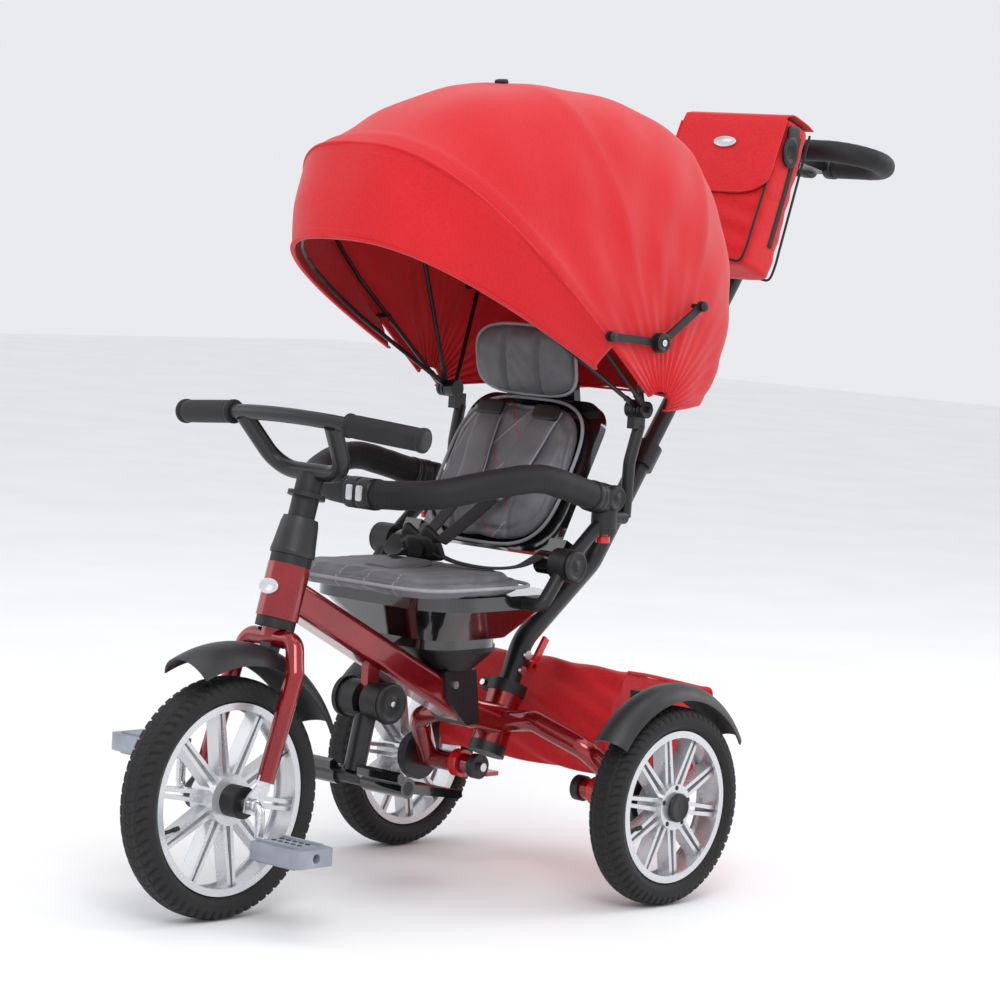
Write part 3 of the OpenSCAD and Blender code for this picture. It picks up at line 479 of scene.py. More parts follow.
def canopyPuff(a, q, t, arc):
    # Cloth relief: a welt at each bow, sewn valleys beside it, fine pleats that fan out of the gathered tips
    c = canopySet
    welts = ((c["front"] + 0.2, 0.0022, 0.20), (c["front"] + 2.6, 0.0014, 0.10), (c["mid"], 0.0020, 0.16),
             (c["rear"], 0.0020, 0.16))
    welt = sum(h * np.exp(-((a - s) * q / 0.1146 / w) ** 2 * 4e-4) for s, h, w in welts)
    pleat = 0.0022 * np.sin(np.radians(a) * 46) * np.exp(-q / 0.075) * (q > 0)
    slack = 0.0016 * np.sin(np.radians(a) * 9 + arc * 17) * np.sin(arc * 23 + 1.0)
    slack = slack + 0.0011 * np.sin(np.radians(a) * 21 - arc * 31)
    drape = 0.004 * np.clip((a - 118) / 60, 0, 1) * np.sin(arc * 34)
    return welt + pleat + slack * np.clip(q / 0.2, 0, 1) + drape * np.clip(q / 0.15, 0, 1)


def clothSheet(name, low, high, rows, edge, material):
    c = canopySet
    t, arc = archSteps(edge, 180 - edge, c["columns"])
    seamsAt = (c["front"] + 0.2, c["front"] + 2.6, c["mid"], c["rear"])
    extra = [s + d for s in seamsAt for d in np.linspace(-1.2, 1.2, 11)]
    a = np.unique(np.clip(np.concatenate([np.linspace(low, high, rows), extra]), low, high))
    a = a[np.concatenate([[True], np.diff(a) > 0.02])]
    points, q = canopyShape(a[:, None], t[None])
    puff = canopyPuff(a[:, None], q, t[None], arc[None])
    du = np.gradient(points, axis=1)
    dv = np.gradient(points, axis=0)
    normal = np.cross(du, dv)
    normal /= np.maximum(np.linalg.norm(normal, axis=2), 1e-12)[..., None]
    middle = np.array([0, c["pivot"][0], c["pivot"][1]])
    if np.sum((points - middle) * normal) < 0:
        normal = -normal
    points = points + normal * puff[..., None]
    uv = np.stack(np.broadcast_arrays(arc[None], a[:, None] * seamPitch), -1)
    area = np.linalg.norm(np.cross(du, dv), axis=2).sum()
    wide = np.linalg.norm(np.diff(points, axis=1), axis=2).sum(1).max()
    long = np.linalg.norm(np.diff(points, axis=0), axis=2).sum(0).max()
    outward = np.sum(np.cross(points[1, 0] - points[0, 0], points[0, 1] - points[0, 0]) * normal[0, 0]) < 0
    piece = gridPiece(name, points, material, uv=uv, flip=not outward)
    finish(piece, c["wall"])
    return piece, (float(wide), float(long)), float(area)


seamPitch = 0.0075
canopyRed = wovenCloth("canopyRed", **redWeave, uv=True,
                       seams=[v * seamPitch for v in (38.7, 41.5, 43.4, 72.9, 75.1, 111.9, 114.1, 174.4)])
visorRed = wovenCloth("visorRed", **redWeave, uv=True, seams=[v * seamPitch for v in (27.3, 38.7)])


def topOfArch(a):
    return tuple(canopyShape(a, 90.0)[0])


low, high = canopySet["front"] + 0.05, canopySet["hem"]
canopy, flatSize, clothArea = clothSheet("canopyCloth", low, high, 96, 1.2, canopyRed)
settled(canopy, "red_fabric", None, "canopy_top", "canopy_rear")
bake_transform(canopy)
low, high = canopySet["visorLow"], canopySet["front"]
visor, flatSize, clothArea = clothSheet("visorCloth", low, high, 34, 9.0, visorRed)
settled(visor, "red_fabric", None, "visor")
topOfArch(28.0)
topOfArch(39.8)
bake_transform(visor)


def edgeTape(name, a, edge, width, height, body, lift):
    # A folded tape along one arch of the cloth
    t, arc = archSteps(edge, 180 - edge, 160)
    path, q = canopyShape(a, t, -lift)
    up = (0, cos(radians(a)), -sin(radians(a)))
    piece = sweep(name, path, roundProfile(width, height, 3.0, 12), paint["clothRed"], up=up)
    return settled(piece, "red_fabric", body)


edgeTape("visorHem", 26.1, 9.0, 0.003, 0.007, "peak", -0.001)
edgeTape("canopyHem", 175.8, 1.2, 0.003, 0.006, "seat", -0.001)
edgeTape("frontWelt", 40.0, 1.2, 0.0042, 0.005, "canopy_front", 0.0010)
print("canopy sewn")

# Padded pieces


def polePiece(name, points, reach, material):
    # Rings closed by a pole at each end of the Z axis
    count, cols = points.shape[:2]
    n = count * cols
    faces = gridFaces(count, cols, loopCols=True)[:, ::-1].tolist()
    j = np.arange(cols)
    faces += np.stack([np.full(cols, n), j, (j + 1) % cols], 1).tolist()
    last = n - cols
    faces += np.stack([np.full(cols, n + 1), last + (j + 1) % cols, last + j], 1).tolist()
    return makePiece(name, np.concatenate([points.reshape(-1, 3), [[0, 0, reach], [0, 0, -reach]]]), faces, material)


def pillow(name, size, power, material, rows=40, cols=96):
    # A superellipsoid: outline of the given power, edge rounded off towards two closed poles
    w, h, d = (v * mm / 2 for v in size)
    th = np.linspace(0, 2 * pi, cols, endpoint=False)[None]
    ph = np.linspace(0.0, pi, rows)[1:-1, None]
    c, s = np.cos(th), np.sin(th)
    ring = np.sin(ph) ** 0.5
    x = w * np.sign(c) * np.abs(c) ** (2 / power) * ring
    y = h * np.sign(s) * np.abs(s) ** (2 / power) * ring
    z = d * np.sign(np.cos(ph)) * np.abs(np.cos(ph)) ** 0.6
    return polePiece(name, np.stack(np.broadcast_arrays(x, y, z), -1), d, material)


def setVertices(piece, co):
    piece.data.vertices.foreach_set("co", co.ravel())
    piece.data.update()


def applied(piece):
    # The piece's modifiers become its mesh
    graph = bpy.context.evaluated_depsgraph_get()
    mesh = bpy.data.meshes.new_from_object(piece.evaluated_get(graph))
    piece.modifiers.clear()
    old = piece.data
    piece.data = mesh
    bpy.data.meshes.remove(old)
    return piece


def inflate(piece, voxel, pressure, cap):
    # Cloth under pressure swells from a remeshed copy of the shape; no point moves further than the cap
    cut = piece.modifiers.new("cut", "REMESH")
    cut.mode = "VOXEL"
    cut.voxel_size = voxel
    cut.use_smooth_shade = True
    applied(piece)
    before = vertices(piece)
    cloth = piece.modifiers.new("air", "CLOTH")
    cloth.settings.use_pressure = True
    cloth.settings.uniform_pressure_force = pressure
    cloth.settings.effector_weights.gravity = 0
    cloth.settings.quality = 6
    scene = bpy.context.scene
    for step in range(1, 21):
        scene.frame_set(step)
    applied(piece)
    move = vertices(piece) - before
    far = np.linalg.norm(move, axis=1)
    setVertices(piece, before + move * np.minimum(1, cap / np.maximum(far, 1e-9))[:, None])
    scene.frame_set(1)
    return piece


def valley(distance, width):
    # 1 on a sewn line, falling off smoothly over its width
    return np.exp(-(distance / width) ** 2)


def outlineAt(co, size, power):
    # 0 at the middle, 1 on the outline
    w, h = size[0] * mm / 2, size[1] * mm / 2
    return (np.abs(co[:, 0] / w) ** power + np.abs(co[:, 1] / h) ** power) ** (1 / power)


seatGrey = dict(colour=(0.115, 0.115, 0.125), light=(0.20, 0.20, 0.215))
plainGrey = dict(colour=(0.105, 0.105, 0.112), light=(0.18, 0.18, 0.19))
pipeGrey = dict(colour=(0.26, 0.26, 0.275), light=(0.38, 0.38, 0.40))
redLine = (0.50, 0.03, 0.04)
noLines = dict(quilt=0, stripes=0.05, lines=((0, 0, 0), (0, 0, 0)), swing=0.0)
satin = dict(
    seat=quiltedSatin("seatSatin", **seatGrey, quilt=0.085, stripes=0.05, lines=(redLine, (0.36, 0.36, 0.38)), swing=0.0),
    back=quiltedSatin("backSatin", **seatGrey, quilt=0.046, stripes=0.052, lines=(redLine, (0.40, 0.40, 0.42)), swing=0.9),
    plain=quiltedSatin("plainSatin", **plainGrey, **noLines),
    pipe=quiltedSatin("pipeSatin", **pipeGrey, **noLines),
)
backFrame = turned(-27, np.array([0, 152, 439]) * mm)
headFrame = backFrame @ turned(37, np.array([0, 14, 228]) * mm)
padAxes = np.array([[1, 0, 0, 0], [0, 0, -1, 0], [0, 1, 0, 0], [0, 0, 0, 1.0]])


def shifted(x, y, z):
    # A plain move, in millimetres
    matrix = np.eye(4)
    matrix[:3, 3] = np.array([x, y, z]) * mm
    return matrix


def padMatrix(base, y, z):
    # Across is X, the pad's height is the base's Z, and its face looks along the base's -Y
    return base @ shifted(0, y, z) @ padAxes


pads = dict(
    seatCushion=dict(size=(290, 226, 24), power=5.0, start=0.955, voxel=0.005, pressure=4, cap=0.006,
                     rim=0.84, grooves=(), depth=0.0035, cloth="seat", body="seat", node="seat_pad", fill=0.6,
                     matrix=shifted(0, 20, 410.6)),
    backCushion=dict(size=(222, 212, 25), power=3.4, start=0.955, voxel=0.005, pressure=4, cap=0.007,
                     rim=0.83, grooves=(-0.047, 0.047), depth=0.004, cloth="back", body="back", node="back_pad",
                     fill=0.6, matrix=padMatrix(backFrame, -4.3, 118)),
    headCushion=dict(size=(176, 94, 37), power=3.4, start=0.95, voxel=0.005, pressure=4, cap=0.008,
                     rim=0.0, grooves=(-0.029, 0.029), depth=0.0055, cloth="plain", body="back", node="headrest",
                     fill=0.7, matrix=padMatrix(headFrame, -24.3, 61)),
)


def cordAlong(name, path, size, material, slot, body, nodes=(), power=2, count=8, **way):
    # A rounded section of the given width and height carried along a path
    return settled(sweep(name, path, roundProfile(*size, power, count), material, **way), slot, body, *nodes)


def sewSeams(co, name, p):
    # Sewn lines sink into the face, short creases cross it, and the headrest curves forward at its ends
    f = outlineAt(co, p["size"], p["power"])
    front = np.clip(co[:, 2] / 0.004, 0, 1)
    sink = np.zeros(len(co))
    if p["rim"]:
        sink += valley(f - p["rim"], 0.022)
        sink += 0.5 * valley(f - 0.30, 0.03) * (name == "seatCushion")
    for x in p["grooves"]:
        sink += valley(co[:, 0] - x, 0.0035) * np.clip((1 - f) * 9, 0, 1)
    crease = 0.0007 * np.sin(co[:, 0] * 160 + 3 * np.sin(co[:, 1] * 60))
    crease *= np.sin(co[:, 1] * 120 + 2 * np.sin(co[:, 0] * 70))
    co[:, 2] += -sink * p["depth"] * front + crease * front
    if name == "headCushion":
        co[:, 2] += 0.05 * co[:, 0] ** 2 / 0.087
    half = p["size"][2] * mm / 2
    co[:, 2] = np.clip(co[:, 2], -half, half + 0.003)


def pipePad(name, p):
    # Piping follows the pad's outline, a superellipse a little inside it
    t = np.linspace(0, 2 * pi, 160, endpoint=False)
    c, s = np.cos(t), np.sin(t)
    w, h = p["size"][0] * mm / 2, p["size"][1] * mm / 2
    lift = 0.05 * (w * c) ** 2 / 0.087 if name == "headCushion" else 0 * c
    x = w * np.sign(c) * np.abs(c) ** (2 / p["power"])
    y = h * np.sign(s) * np.abs(s) ** (2 / p["power"])
    loop = np.stack([x * 0.992, y * 0.992, lift + 0.001], 1)
    cordAlong(name + "Piping", through(p["matrix"], loop), (0.0046, 0.0046), satin["pipe"], "pad_fabric",
              p["body"], count=10, up=p["matrix"][:3, 2], closed=True)


def sewPad(name, p):
    piece = pillow(name, [v * p["start"] for v in p["size"]], p["power"], satin[p["cloth"]])
    inflate(piece, p["voxel"], p["pressure"], p["cap"])
    applied(finish(piece, smooth=1))
    co = vertices(piece)
    sewSeams(co, name, p)
    setVertices(piece, co)
    place(piece, p["matrix"])
    piece.data.polygons.foreach_set("use_smooth", np.full(len(piece.data.polygons), True))
    settled(piece, "pad_fabric", p["body"], p["node"])
    pipePad(name, p)


for name, p in pads.items():
    sewPad(name, p)
print("pads sewn")

# Harness: shoulder pads over webbing, side straps, crotch pad and a rounded five-way buckle
harnessSet = dict(pad=(0.040, 0.011), web=(0.024, 0.0024), buckleAt=(0, 50, 446), tilt=20,
                  shoulder=[(50, -17, 202), (47, -23, 176), (42, -26, 140), (34, -29, 104), (27, -40, 62)],
                  lower=[(29, -35, 72), (25, -46, 46), (20, -66, 8), (15, -84, -24)],
                  side=[(20, 52, 443), (46, 66, 433), (82, 88, 429), (112, 112, 434), (124, 138, 448)],
                  crotch=[(0, -30, 424), (0, -6, 425.5), (0, 22, 427), (0, 44, 430)])
sides = ((1, "Left"), (-1, "Right"))
outOfBack = (0, -1, 0.3)


def strapLine(key, count):
    return curveThrough(np.array(harnessSet[key]) * mm, count)


for sign, tag in sides:
    swap = np.array([sign, 1, 1])
    path = through(backFrame, strapLine("shoulder", 60)) * swap
    bulge = 0.86 + 0.14 * np.sin(np.linspace(0, pi, 60)) ** 0.5
    pad = cordAlong("shoulderPad" + tag, path, harnessSet["pad"], satin["plain"], "pad_fabric", "back",
                    ["harness"], 3.2, 28, up=outOfBack, grow=bulge)
    for edge in (1, -1):
        rim = path + np.array([edge * harnessSet["pad"][0] * 0.49, 0, 0]) * bulge[:, None]
        cordAlong("shoulderPiping%s%d" % (tag, edge), rim, (0.0032, 0.0032), satin["pipe"], "pad_fabric", "back",
                  up=outOfBack)
    cordAlong("shoulderWeb" + tag, through(backFrame, strapLine("lower", 40)) * swap, harnessSet["web"],
              paint["webBlack"], "strap_web", "back", power=6, count=16, up=outOfBack)
    cordAlong("sideWeb" + tag, strapLine("side", 50) * swap, harnessSet["web"], paint["webBlack"], "strap_web",
              "back", power=6, count=16)


def rockBox(name, size, matrix, material, power=5.0, rows=20, cols=40):
    # A box with every edge rounded: a superellipsoid of high power on all three axes
    w, h, d = (v * mm / 2 for v in size)
    th = np.linspace(0, 2 * pi, cols, endpoint=False)[None] + pi / cols
    ph = np.linspace(0.0, pi, rows)[1:-1, None]
    c, s = np.cos(th), np.sin(th)
    e = 2 / power
    ring = np.abs(np.sin(ph)) ** e
    x = w * np.sign(c) * np.abs(c) ** e * ring
    y = h * np.sign(s) * np.abs(s) ** e * ring
    z = d * np.sign(np.cos(ph)) * np.abs(np.cos(ph)) ** e
    return place(polePiece(name, np.stack(np.broadcast_arrays(x, y, z), -1), d, material), matrix)


def lathe(name, profile, matrix, material, segments=64):
    # A profile (radius, height) turned about its own Z axis; ends near the axis are closed by flat discs
    p = np.asarray(profile, float) * mm
    t = np.linspace(0, 2 * pi, segments, endpoint=False)[None]
    points = np.stack(np.broadcast_arrays(p[:, :1] * np.cos(t), p[:, :1] * np.sin(t), p[:, 1:]), -1)
    return place(gridPiece(name, points, material, loopCols=True, caps=True), matrix)


def facing(origin, z, x=(0, 0, 1)):
    # A frame at the origin (in millimetres) whose Z axis looks along z
    z = np.asarray(z, float) / np.linalg.norm(z)
    y = np.cross(z, x)
    y = y / np.linalg.norm(y)
    m = np.eye(4)
    m[:3, :3] = np.column_stack([np.cross(y, z), y, z])
    m[:3, 3] = np.asarray(origin, float) * mm
    return m


slotOf = dict(satinBlack="black_plastic", wheelSilver="silver_plastic", zinc="bright_steel")


def turnedPart(name, profile, spot, axis, colour, body, segments=64, x=(0, 0, 1), stretch=(1, 1)):
    # A lathe piece whose own axis leaves the spot along the given one; stretch makes it oval
    matrix = facing(spot, axis, x) @ np.diag([*stretch, 1, 1.0])
    return settled(lathe(name, profile, matrix, paint[colour], segments), slotOf[colour], body)


def mouldedBlock(name, size, matrix, colour, body, power=5.0):
    return settled(rockBox(name, size, matrix, paint[colour], power), slotOf[colour], body)


buckleFrame = turned(harnessSet["tilt"], np.array(harnessSet["buckleAt"]) * mm) @ shifted(0, 1.2, 3)
mouldedBlock("buckleBody", (50, 15.5, 36), buckleFrame, "satinBlack", "back", 4.5)
for sign, tag in sides:
    for k, (x, z, turn) in enumerate(((23, -4, 8), (17, 16, 52))):
        c, s = cos(radians(turn)), sin(radians(turn))
        fan = np.array([[c * sign, 0, -s, sign * x * mm], [0, 1, 0, 0], [s * sign, 0, c, z * mm], [0, 0, 0, 1.0]])
        mouldedBlock("buckleTab%d%s" % (k, tag[0]), (22, 9, 26), buckleFrame @ fan, "satinBlack", "back")
    spot = through(backFrame, np.array([[49 * sign, -25, 196]]) * mm)[0] / mm
    mouldedBlock("ladderLock" + tag[0], (44, 22, 7), facing(spot, (0, -0.89, 0.45), (1, 0, 0)), "satinBlack", "back")
crotch = cordAlong("crotchPad", strapLine("crotch", 40), (0.050, 0.008), satin["plain"], "pad_fabric", "seat",
                   power=3.5, count=28)

# Foam sleeves: bumper halves, hand grips and the ring handle
bumperSet = dict(radius=0.0185, path=[(156, 214, 524), (160, 190, 528), (162, 140, 541), (161, 84, 551.5),
                                      (147, 22, 545), (112, -40, 529.5), (62, -57, 523), (14, -62, 520)],
                 knuckle=[(0.1, 511.9), (14, 511.9), (17.4, 513.5), (18.2, 518), (18.2, 531), (17, 536),
                          (13, 540), (6, 541.5), (0.1, 542)],
                 disc=[(0.1, 6), (15.5, 6), (16.5, 13), (16.5, 19), (15, 21.5), (12.5, 21.5), (12, 20.6),
                       (4, 20.6), (3.6, 22), (0.1, 22.4)],
                 clasp=(0.4, 6, 12, 17, 21))


def bumperHalf(sign, tag):
    # Foam over a bent bar, a cross-stitched seam on its inner side, a ribbed collar, a knuckle and half the clasp
    b = bumperSet
    body = "bumper_" + tag[0].lower()
    swap = np.array([sign, 1, 1])
    path = curveThrough(np.array(b["path"]) * mm, 140)
    s = np.linspace(0, 1, 140)
    lumps = 1 + 0.012 * np.sin(s * 60) * np.sin(s * 23) + 0.01 * np.cos(s * 9)
    foam = cordAlong("bumperFoam" + tag, path * swap, (2 * b["radius"], 2 * b["radius"]), paint["foamBlack"],
                     "foam", body, ["bumper_" + tag.lower()], count=40, grow=lumps)
    inward = np.cross(np.gradient(path, axis=0), (0, 0, 1.0))
    inward /= np.linalg.norm(inward, axis=1)[:, None]
    middle = np.array([0, 90, 530]) * mm
    inward *= np.sign(np.sum((middle - path) * inward, axis=1))[:, None]
    zig = 0.0012 * np.sin(np.linspace(0, 2 * pi * 46, 560))
    dense = curveThrough(path + inward * (b["radius"] - 0.0002), 560)
    cordAlong("bumperSeam" + tag, (dense + np.array([0, 0, 1.0]) * zig[:, None]) * swap, (0.0016, 0.0016),
              paint["webBlack"], "strap_web", body, count=6)
    ribs = 1 - 0.05 * (np.sin(np.linspace(0, 2 * pi * 4, 30)) > 0.3)
    cordAlong("bumperCollar" + tag, curveThrough(path[:22:3], 30) * swap, (0.0405, 0.0405), paint["satinBlack"],
              "black_plastic", body, power=2.3, count=40, grow=ribs)
    turnedPart("bumperKnuckle" + tag, b["knuckle"], (156 * sign, 223, 0), (0, 0, 1), "satinBlack", body, x=(1, 0, 0))
    turnedPart("knuckleDisc" + tag, b["disc"], (156 * sign, 223, 525.5), (sign, 0, 0), "satinBlack", body)
    run = np.array([[x * sign, -62, 520] for x in b["clasp"]]) * mm
    cordAlong("claspBand" + tag, run, (0.0400, 0.0400), paint["satinBlack"], "black_plastic", body, power=2.6, count=36)
    mouldedBlock("claspPlate" + tag, (11, 5, 20), facing((8.5 * sign, -81, 521), (0, 0, 1), (1, 0, 0)),
                 "wheelSilver", body)


for sign, tag in sides:
    bumperHalf(sign, tag)

gripSet = dict(end=np.array([208.95, -181.58, 606.45]), line=np.array([-0.981484, -0.174011, 0.079566]),
               sleeve=[(9.6, -2.6), (13.5, -2.9), (15.4, -1.5), (15.6, 2), (15.2, 4.4), (13.6, 5), (14.4, 7),
                       (14.5, 20), (14.6, 56), (14.5, 98), (14.2, 104), (13.6, 106), (15.2, 106.8), (15.3, 110.5),
                       (14.4, 112), (9.6, 112)],
               cap=[(0.1, -3.6), (7.0, -3.5), (11, -3.0), (12.2, -2.0), (12.2, 0)])
for sign, tag in sides:
    swap = np.array([sign, 1, 1])
    spot, line = gripSet["end"] * swap, gripSet["line"] * swap
    foam = lathe("gripFoam" + tag, gripSet["sleeve"], facing(spot, line), paint["foamBlack"], 48)
    settled(foam, "foam", "steering", "grips")
    turnedPart("gripCap" + tag, gripSet["cap"], spot, line, "satinBlack", "steering", 48)

ringSet = dict(straight=85, round=55, foamFrom=19.5, cuff=(15, 19, 23, 27))
pushDir = np.array([0, 0.568, 0.823])
pushTop = np.array([0, 384, 417]) + (192 + 490) * pushDir
ringFrame = turned(-11, (pushTop + (0, 12, 6)) * mm)


def ringRun(r):
    # Half the ring: a straight run, a half circle and a straight run back
    turn = np.radians(np.linspace(-90, 90, 60))
    arc = np.stack([r["straight"] + r["round"] * np.cos(turn), r["round"] * np.sin(turn), 0 * turn], 1)
    out = np.array([[x, -r["round"], 0] for x in (r["foamFrom"], 40, 62)])
    return np.concatenate([out, arc, out[::-1] * (1, -1, 1)]) * mm


for sign, tag in sides:
    path = through(ringFrame, ringRun(ringSet)) * (sign, 1, 1)
    s = np.linspace(0, 1, len(path))
    foam = cordAlong("handleFoam" + tag, path, (0.030, 0.030), paint["foamBlack"], "foam", "push_upper",
                     ["handle_foam"], count=36, up=ringFrame[:3, 2], grow=1 + 0.008 * np.sin(s * 90))
    for side, end in ((-ringSet["round"], "Front"), (ringSet["round"], "Rear")):
        ends = through(ringFrame, np.array([[x, side, 0] for x in ringSet["cuff"]]) * mm) * (sign, 1, 1)
        cordAlong("handleCuff" + tag + end, ends, (0.0325, 0.0325), paint["satinBlack"], "black_plastic",
                  "push_upper", power=2.2, count=32, up=ringFrame[:3, 2])
print("foam sleeves on")

# Bag: rings lofted from the floor to the top, fuller and lower at the bottom, with a rounded flap over its front
bagSet = dict(low=(591, 822), high=(667, 1026), depth=(74, 61), width=(180, 174), sag=7.0, flapTop=0.36,
              flapDrop=0.56, flapRound=0.20)


def bagPoint(s, across, depth, out=0.0):
    # s runs from the floor to the top; across and depth run from -1 to 1 over the section
    b = bagSet
    y = b["low"][0] + (b["high"][0] - b["low"][0]) * s
    z = b["low"][1] + (b["high"][1] - b["low"][1]) * s
    d = b["depth"][0] + (b["depth"][1] - b["depth"][0]) * s
    w = b["width"][0] + (b["width"][1] - b["width"][0]) * s
    full = b["sag"] * np.sin(pi * np.clip(s, 0, 1) ** 0.75) ** 1.2
    lean = np.array([76, 205]) / np.hypot(76, 205)
    off = depth * (d / 2 + out + full * 0.55 * (1 - np.abs(across) ** 2.5))
    x = across * (w / 2 + out + full * 0.25 * (1 - np.abs(depth) ** 2))
    return np.stack(np.broadcast_arrays(x, y + off * lean[1], z - off * lean[0]), -1) * mm


def bagShell():
    # Rings of a rounded oblong, drawn in to a closed floor and a closed top, with shallow folds front and back
    t = np.linspace(0, 2 * pi, 132, endpoint=False)
    c, s = np.cos(t), np.sin(t)
    px = (np.sign(c) * np.abs(c) ** (2 / 7))[None]
    py = (np.sign(s) * np.abs(s) ** (2 / 7))[None]
    rise = np.concatenate([np.full(6, 0.0), np.linspace(0, 1, 56)[1:-1], np.full(7, 1.0)])[:, None]
    shrink = np.concatenate([np.linspace(0.02, 0.96, 6), np.full(54, 1.0), np.linspace(0.97, 0.02, 7)])[:, None]
    dome = np.concatenate([np.linspace(-0.030, -0.006, 6), np.zeros(54), np.linspace(0.006, 0.032, 7)])[:, None]
    shell = bagPoint(rise + dome, px * shrink, py * shrink)
    fold = 0.0014 * np.sin(px * 5 + rise * 21) * np.sin(rise * 9 + py * 2) + 0.001 * np.sin(rise * 44 + px * 3)
    shell[..., 1] += fold * np.sign(py) * shrink ** 4
    bag = gridPiece("bagShell", shell, paint["clothRed"], loopCols=True, caps=True)
    settled(finish(bag, smooth=1), "red_fabric", "push_upper", "bag")


def flapEdge(u):
    # How far the flap hangs at u across the bag: less at its rounded corners
    return bagSet["flapDrop"] * (1 - bagSet["flapRound"] * np.abs(u) ** 6)


def bagFlap():
    # The flap starts behind the top edge, runs over it and hangs down the front
    u = np.linspace(-1, 1, 60)[None]
    v = np.linspace(0, 1, 64)[:, None]
    over = bagSet["flapTop"]
    run = v * (over + flapEdge(u))
    top = np.clip(run / over, 0, 1)
    down = np.clip(run - over, 0, 1)
    depthAt = np.where(run < over, 0.98 - 1.98 * top, -1.0)
    heightAt = np.where(run < over, 1.035 - 0.012 * np.cos(top * pi) ** 8, 1.02 - down)
    flap = bagPoint(heightAt, u * 1.012, depthAt, 2.2 + 1.2 * v)
    flap[..., 2] -= 0.004 * np.exp(-((run - over) / 0.05) ** 2)
    piece = gridPiece("bagFlap", flap, paint["clothRed"], flip=True)
    settled(finish(piece, 0.0022, smooth=1, offset=0), "red_fabric", "push_upper")


def bagPiping(depth, tag):
    # Piping down one side, across the floor and up the other, round the front or the rear gusset edge
    side = np.linspace(0.99, 0.04, 30)
    rise = np.concatenate([side, np.full(30, 0.012), side[::-1]])
    across = np.concatenate([np.full(30, 1.0), np.linspace(0.95, -0.95, 30), np.full(30, -1.0)])
    line = bagPoint(rise, across * 0.985, np.full(90, depth * 0.965), 0.6)[::3]
    cordAlong("bagPiping" + tag, curveThrough(line, 140), (0.0036, 0.0036), paint["webBlack"], "strap_web",
              "push_upper", up=(0, 1, 0.1))


def flapBinding():
    side = np.linspace(0.05, 0.42, 14)
    front = np.linspace(0.97, -0.97, 40)
    across = np.concatenate([np.full(14, 0.995), front, np.full(14, -0.995)])
    rise = 1.02 - np.concatenate([side, flapEdge(front), side[::-1]])
    line = bagPoint(rise, across * 1.012, np.full(68, -1.0), 3.6)[::2]
    cordAlong("flapBinding", curveThrough(line, 120), (0.003, 0.0042), paint["clothRed"], "red_fabric",
              "push_upper", up=(0, 1, 0.1))


def bagTrim():
    # A zip up the side, a keyhole ring and its loop beside the strap, and a blank oval badge on the flap
    zipLine = bagPoint(np.linspace(0.18, 0.93, 40), np.full(40, 1.0), np.full(40, 0.25), 0.8)
    cordAlong("bagZip", zipLine, (0.0018, 0.009), paint["webBlack"], "strap_web", "push_upper", power=4, count=12,
              up=(0, 1, 0))
    plateAt = bagPoint(np.array(0.80), np.array(1.0), np.array(-0.28), 3.5) / mm
    ring = [(0.1, 0), (17, 0), (19, 1.5), (19, 4), (17.5, 5), (8.5, 5), (7.8, 2.5), (0.1, 2.5)]
    turnedPart("bagRing", ring, plateAt, (1, 0, 0), "satinBlack", "push_upper", 48, stretch=(1.15, 0.86))
    mouldedBlock("bagLoop", (30, 26, 5), facing(plateAt + (1.5, 6, 21), (1, 0, 0)), "satinBlack", "push_upper")
    badgeAt = bagPoint(np.array(0.80), np.array(0.0), np.array(-1.0), 5.8) / mm
    badge = [(0.1, 0), (9.5, 0), (10, 0.8), (9.4, 1.5), (8.4, 1.5), (8, 1.0), (0.1, 1.3)]
    turnedPart("bagBadge", badge, badgeAt, (0, -0.95, 0.32), "wheelSilver", "push_upper", 48, (1, 0, 0), (2.0, 0.8))


bagShell()
bagFlap()
bagPiping(-1.0, "Front")
bagPiping(1.0, "Rear")
flapBinding()
bagTrim()
print("bag packed")

# Basket: one closed cloth skin, with a peaked cover that slopes back and folds that run down its sides
basketSet = dict(half=0.150, side=[(301, 291), (345, 284), (400, 273), (450, 262.5), (478, 255), (474, 225),
                                   (466, 190), (452, 158), (436, 143), (400, 139), (350, 140), (318, 149),
                                   (290, 154), (266, 156), (262, 180), (263, 215), (268, 243), (284, 268)])


def basketCloth():
    # The side outline is carried across the basket and drawn in to closed ends; folds ripple it outward
    b = basketSet
    outline = curveThrough(np.array(b["side"]) * mm, 150, closed=True)
    x = np.concatenate([np.full(6, -1.0), np.sin(np.linspace(-pi / 2, pi / 2, 60)), np.full(6, 1.0)])[:, None]
    squeeze = np.concatenate([np.linspace(0.02, 0.95, 6), np.full(60, 1.0), np.linspace(0.95, 0.02, 6)])[:, None]
    middle = outline.mean(0)
    away = outline - middle
    turn = np.linspace(0, 2 * pi, 150, endpoint=False)[None]
    ripple = 0.0028 * np.sin(turn * 9 + 2.0 * np.sin(x * 3)) * np.cos(x * 2.2) ** 2
    ripple = ripple + 0.0016 * np.sin(turn * 17 + x * 11) - 0.002
    outward = away / np.linalg.norm(away, axis=1)[:, None]
    yz = middle + (away[None] + outward[None] * ripple[..., None]) * squeeze[..., None]
    bulge = np.sign(x) * 0.006 * (np.abs(x) > 0.999) * (1 - squeeze)
    across = np.broadcast_to(x * (b["half"] - 0.001) - bulge, yz.shape[:2])
    basket = gridPiece("basketCloth", np.concatenate([across[..., None], yz], -1), paint["clothRed"],
                       loopCols=True, caps=True)
    settled(finish(basket, smooth=1), "red_fabric", "chassis", "basket")


